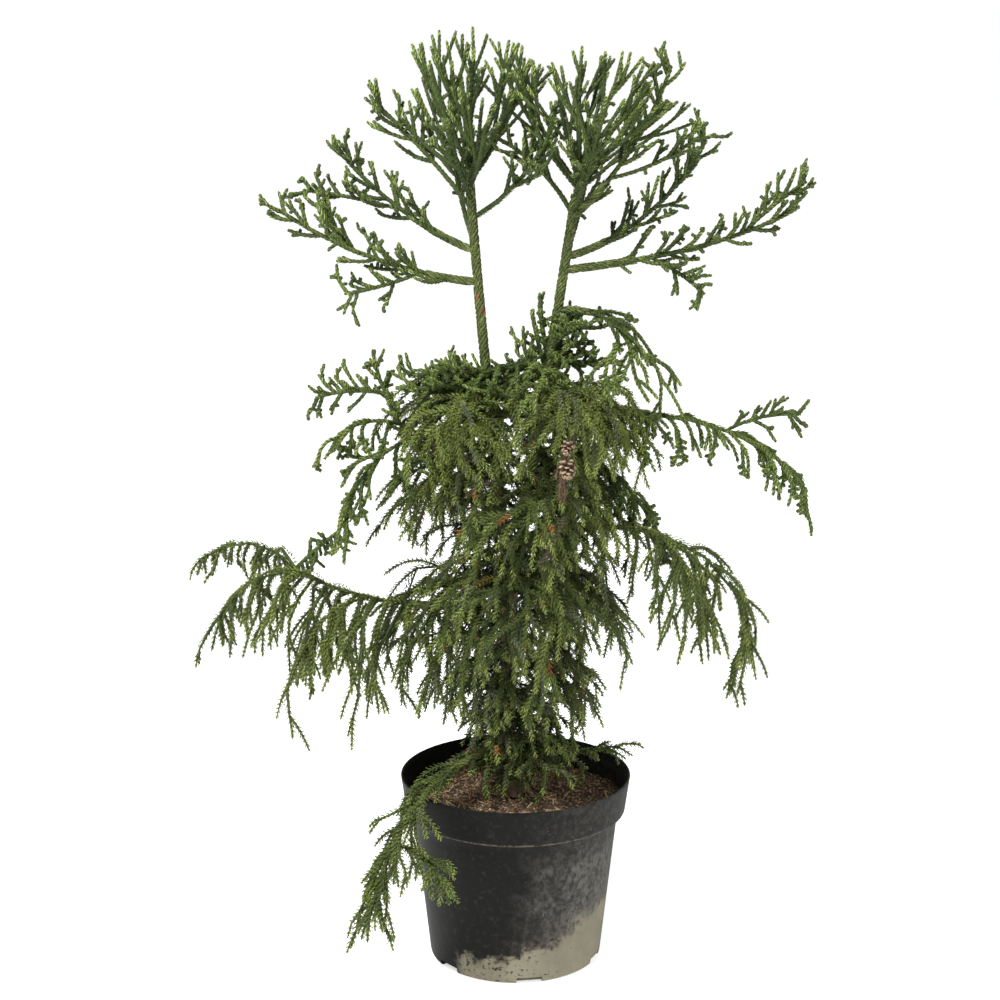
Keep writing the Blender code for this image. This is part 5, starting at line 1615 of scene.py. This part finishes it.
class CEDAR_OT_scales(bpy.types.Operator):
    """Lay the long twisted needles round the leaders and the boughs"""

    bl_idname = "cedar.scales"
    bl_label = "Dress Limbs"

    def execute(self, context):
        draw = np.random.default_rng(31)
        rows = []
        red = []
        for limb in LIMBS[1:]:
            if limb.bare == 0:
                continue
            count = int(limb.length * limb.bare / 0.00062)
            share = (np.arange(count) + 0.5) / count * limb.bare
            place, ahead = places_on(PATHS[limb.name][None], np.zeros(count, int), share)
            side, top = side_ways(ahead)
            turn = np.arange(count) * RANK_ANGLE + LIMB_TWIST * share * limb.length
            turn = np.radians(turn + draw.uniform(-17, 17, count))[:, None]
            rows.append((place, ahead, np.cos(turn) * top - np.sin(turn) * side, limb_radii(limb, share)))
            shown = (limb.name == "right_lower") & (share > 0.12)
            streak = (limb.name == "leader_left") & (share > 0.60) & (share < 0.70) & (rows[-1][2][:, 1] < -0.5)
            red.append(shown | (streak & (draw.uniform(0, 1, count) < 0.45)))
        place, ahead, outward, girth = (np.concatenate(part) for part in zip(*rows))
        tones = (
            ("olive", (0.072, 0.090, 0.018)), ("green", (0.052, 0.080, 0.013)),
            ("pale", (0.110, 0.135, 0.032)), ("rust", (0.205, 0.070, 0.024)),
        )
        group = draw.choice(3, len(place), p=(0.40, 0.35, 0.25))
        group[np.concatenate(red)] = 3
        for number, (name, base) in enumerate(tones):
            chosen = group == number
            points, faces = needle_mesh(
                place[chosen], ahead[chosen], outward[chosen], girth[chosen], np.ones(chosen.sum()),
                np.ones(chosen.sum()), CORD_LEAN, LIMB_NEEDLE, draw,
            )
            item = mesh_from(f"limb_needles_{name}", points, faces)
            show(item, toned("limb_" + name, base, 60.0, 0.65, 1.35, 0.6), "foliage")
        return {"FINISHED"}


# Cones


def cone_scale():
    """Points of one woody scale, and the faces of its dark wedge and of its pale lip.

    x runs out from the cone's axis, y across and z towards the cone's tip, in scale lengths.
    The wedge widens to the lip, which ends in a short spine; each of the two is closed.
    """
    points = np.array([
        (0.10, -0.10, 0.00), (0.10, 0.10, 0.00), (0.10, 0.00, 0.14),
        (0.80, -0.34, 0.08), (0.80, 0.34, 0.08), (0.76, -0.27, 0.30), (0.76, 0.27, 0.30),
        (0.97, -0.17, 0.20), (0.97, 0.17, 0.20), (1.06, 0.00, 0.36), (0.90, 0.00, 0.34),
    ])
    wedge = np.array([
        (0, 2, 1), (0, 1, 4), (0, 4, 3), (0, 3, 5), (0, 5, 2), (1, 2, 6), (1, 6, 4), (2, 5, 6),
        (3, 4, 6), (3, 6, 5),
    ])
    lip = np.array([
        (3, 4, 8), (3, 8, 7), (3, 7, 5), (4, 6, 8), (5, 7, 10), (5, 10, 6), (6, 10, 8),
        (7, 9, 10), (10, 9, 8), (7, 8, 9), (3, 6, 4), (3, 5, 6),
    ])
    return points, wedge, lip


def cone_places():
    """Centre and axis of each cone, on the twig that carries the cones of the solids."""
    stem = next(stem for stem in tier_stems() if stem.mass == CONE_MASS)
    begin = max(stem.begin + TWIGLESS[stem.habit], stem.first_twig)
    twig = twigs_on(stem, HABITS[stem.habit].spacing, stem.seed, begin, parts=CONE_TWIG_PARTS)[CONE_TWIG]
    rows = []
    for share, aside, size in CONES:
        place, way = at_share(twig, share)
        centre = place + np.array([aside, -0.004, 0.0])
        rows.append((centre, unit(way + np.array([40 * aside, -0.5, 0.0])), size))
    return rows, twig


class CEDAR_OT_cones(bpy.types.Operator):
    """Build the open woody cones and the stalk that carries them"""

    bl_idname = "cedar.cones"
    bl_label = "Build Cones"

    def execute(self, context):
        draw = np.random.default_rng(51)
        shape, wedge, lip = cone_scale()
        rows, twig = cone_places()
        stalk = np.stack([at_share(twig, share)[0] for share in np.linspace(0, 1, 9)])
        points, faces = tube_grid(stalk[None], np.linspace(0.0016, 0.0012, 9)[None], 6)
        bark = toned("cone_stalk", (0.105, 0.078, 0.045), 200.0, 0.6, 1.4, 0.9)
        show(mesh_from("cone_stalk", points, faces), bark, "foliage")
        all_points, wedges, lips = [], [], []
        for centre, axis, girth in rows:
            side, top = side_ways(axis[None].copy())
            side, top = side[0], top[0]
            for number in range(CONE_SCALES):
                share = (number + 0.5) / CONE_SCALES
                turn = math.radians(number * GOLDEN_ANGLE + draw.uniform(-8, 8))
                lean = math.radians(70 - 125 * (1 - share))
                out = math.cos(turn) * side + math.sin(turn) * top
                across = math.cos(turn) * top - math.sin(turn) * side
                ahead = math.cos(lean) * out + math.sin(lean) * axis
                upper = math.cos(lean) * axis - math.sin(lean) * out
                size = CONE_RADIUS * girth * draw.uniform(0.90, 1.06)
                root = centre + axis * CONE_RADIUS * girth * 0.30 * (2 * share - 1)
                local = shape * size
                wedges.append(wedge + len(shape) * len(all_points))
                lips.append(lip + len(shape) * len(all_points))
                all_points.append(root + local[:, :1] * ahead + local[:, 1:2] * across + local[:, 2:] * upper)
        points = np.concatenate(all_points)
        # The pale lips are partly the scales' own tan and partly painted highlight
        for name, faces, base in (("wedges", wedges, (0.085, 0.046, 0.026)), ("lips", lips, (0.34, 0.25, 0.165))):
            wood = toned("cone_" + name, base, 420.0, 0.45, 1.6, 0.85, 0.4, 900.0)
            used, faces = np.unique(np.concatenate(faces), return_inverse=True)
            show(mesh_from("cone_" + name, points[used], faces.reshape(-1, 3), smooth=False), wood, "foliage")
        self.dead_shoots(twig, np.random.default_rng(52))
        return {"FINISHED"}

    @staticmethod
    def dead_shoots(twig, draw):
        """Thin brown shoots with withered needles, hanging from the twig of the cones."""
        paths = np.stack([
            limb_path(at_share(twig, share)[0], heading, rise, 0, -30, 1, reach)[::4]
            for share, heading, rise, reach in DEAD_SHOOTS
        ])
        place, ahead, outward, owner, share = needle_places(paths, 0.0011, COMB_TWIST, draw)
        ones = np.ones(len(place))
        points, faces = needle_mesh(place, ahead, outward, 0.0006 * ones, ones, ones, COMB_LEAN, COMB_NEEDLE, draw)
        wood = toned("dead_needles", (0.140, 0.084, 0.050), 300.0, 0.5, 1.5, 0.85)
        show(mesh_from("dead_needles", points, faces), wood, "foliage")
        points, faces = tube_grid(paths, np.full(paths.shape[:2], 0.0008), 5)
        show(mesh_from("dead_stalks", points, faces), wood, "foliage")


# Stage


class CEDAR_OT_stage(bpy.types.Operator):
    """Set the floor, the light and the camera"""

    bl_idname = "cedar.stage"
    bl_label = "Build Stage"

    def execute(self, context):
        settings = context.scene.cedar_stage
        bpy.ops.mesh.primitive_plane_add(size=60, location=(0, 0, -0.0005))
        floor = context.active_object
        floor.name = "floor"
        material = toned("floor", (0.90, 0.90, 0.90), 0.3, 0.99, 1.0, 0.9, specular=0.0)
        glow = material.node_tree.nodes["Principled BSDF"].inputs
        glow["Emission Color"].default_value = (1.0, 1.0, 1.0, 1.0)
        glow["Emission Strength"].default_value = 0.62
        floor.data.materials.append(material)
        world = bpy.data.worlds.new("studio")
        world.use_nodes = True
        nodes, links = world.node_tree.nodes, world.node_tree.links
        seen = nodes["Background"]
        seen.inputs["Color"].default_value = (1.0, 1.0, 1.0, 1.0)
        shed = nodes.new("ShaderNodeBackground")
        shed.inputs["Strength"].default_value = 0.62
        rays = nodes.new("ShaderNodeLightPath")
        mixed = nodes.new("ShaderNodeMixShader")
        links.new(rays.outputs["Is Camera Ray"], mixed.inputs["Fac"])
        links.new(shed.outputs["Background"], mixed.inputs[1])
        links.new(seen.outputs["Background"], mixed.inputs[2])
        links.new(mixed.outputs["Shader"], nodes["World Output"].inputs["Surface"])
        context.scene.world = world
        self.lamp("key", (-1.3, -1.6, 3.2), 1.0, 175.0)
        self.lamp("fill", (2.2, -1.6, 1.8), 1.6, 22.0)
        context.scene.view_settings.view_transform = "Standard"
        camera = bpy.data.cameras.new("camera")
        camera.lens = settings.lens
        camera.sensor_width = 36.0
        holder = bpy.data.objects.new("camera", camera)
        context.scene.collection.objects.link(holder)
        holder.location = (settings.aside, -settings.distance, settings.height)
        holder.rotation_euler = (math.pi / 2 - settings.tilt, 0.0, 0.0)
        context.scene.camera = holder
        return {"FINISHED"}

    @staticmethod
    def lamp(name, place, size, power):
        """A soft square lamp that looks at the middle of the plant."""
        lamp = bpy.data.lights.new(name, "AREA")
        lamp.size = size
        lamp.energy = power
        holder = bpy.data.objects.new(name, lamp)
        bpy.context.scene.collection.objects.link(holder)
        holder.location = place
        aim = np.array((0.0, 0.0, 0.55)) - np.array(place)
        flat = math.hypot(aim[0], aim[1])
        holder.rotation_euler = (math.pi / 2 + math.atan2(aim[2], flat), 0, math.atan2(aim[1], aim[0]) - math.pi / 2)


class CEDAR_PT_panel(bpy.types.Panel):
    """Sidebar panel of the cedar"""

    bl_label = "Potted Cedar"
    bl_idname = "CEDAR_PT_panel"
    bl_space_type = "VIEW_3D"
    bl_region_type = "UI"
    bl_category = "Cedar"

    def draw(self, context):
        for group in (context.scene.cedar_pot, context.scene.cedar_plant, context.scene.cedar_stage):
            box = self.layout.box()
            for key in group.__annotations__:
                box.prop(group, key)
        for name in ("pot", "soil", "limbs", "scales", "cords", "droops", "combs", "cones", "stage"):
            self.layout.operator("cedar." + name)


CLASSES = (
    CEDAR_PG_pot, CEDAR_PG_plant, CEDAR_PG_stage, CEDAR_OT_pot, CEDAR_OT_soil, CEDAR_OT_limbs,
    CEDAR_OT_scales, CEDAR_OT_cords, CEDAR_OT_droops, CEDAR_OT_combs, CEDAR_OT_cones, CEDAR_OT_stage,
    CEDAR_PT_panel,
)


def register():
    """Register the classes and hang the settings on the scene."""
    for item in CLASSES:
        bpy.utils.register_class(item)
    bpy.types.Scene.cedar_pot = PointerProperty(type=CEDAR_PG_pot)
    bpy.types.Scene.cedar_plant = PointerProperty(type=CEDAR_PG_plant)
    bpy.types.Scene.cedar_stage = PointerProperty(type=CEDAR_PG_stage)


def unregister():
    """Take the settings and the classes away."""
    del bpy.types.Scene.cedar_pot
    del bpy.types.Scene.cedar_plant
    del bpy.types.Scene.cedar_stage
    for item in reversed(CLASSES):
        bpy.utils.unregister_class(item)


def main():
    """Build everything in order."""
    register()
    bpy.ops.cedar.stage()
    bpy.ops.cedar.pot()
    bpy.ops.cedar.soil()
    bpy.ops.cedar.limbs()
    bpy.ops.cedar.scales()
    bpy.ops.cedar.cords()
    bpy.ops.cedar.droops()
    bpy.ops.cedar.combs()
    bpy.ops.cedar.cones()
    bpy.context.view_layer.update()


if __name__ == "__main__":
    main()
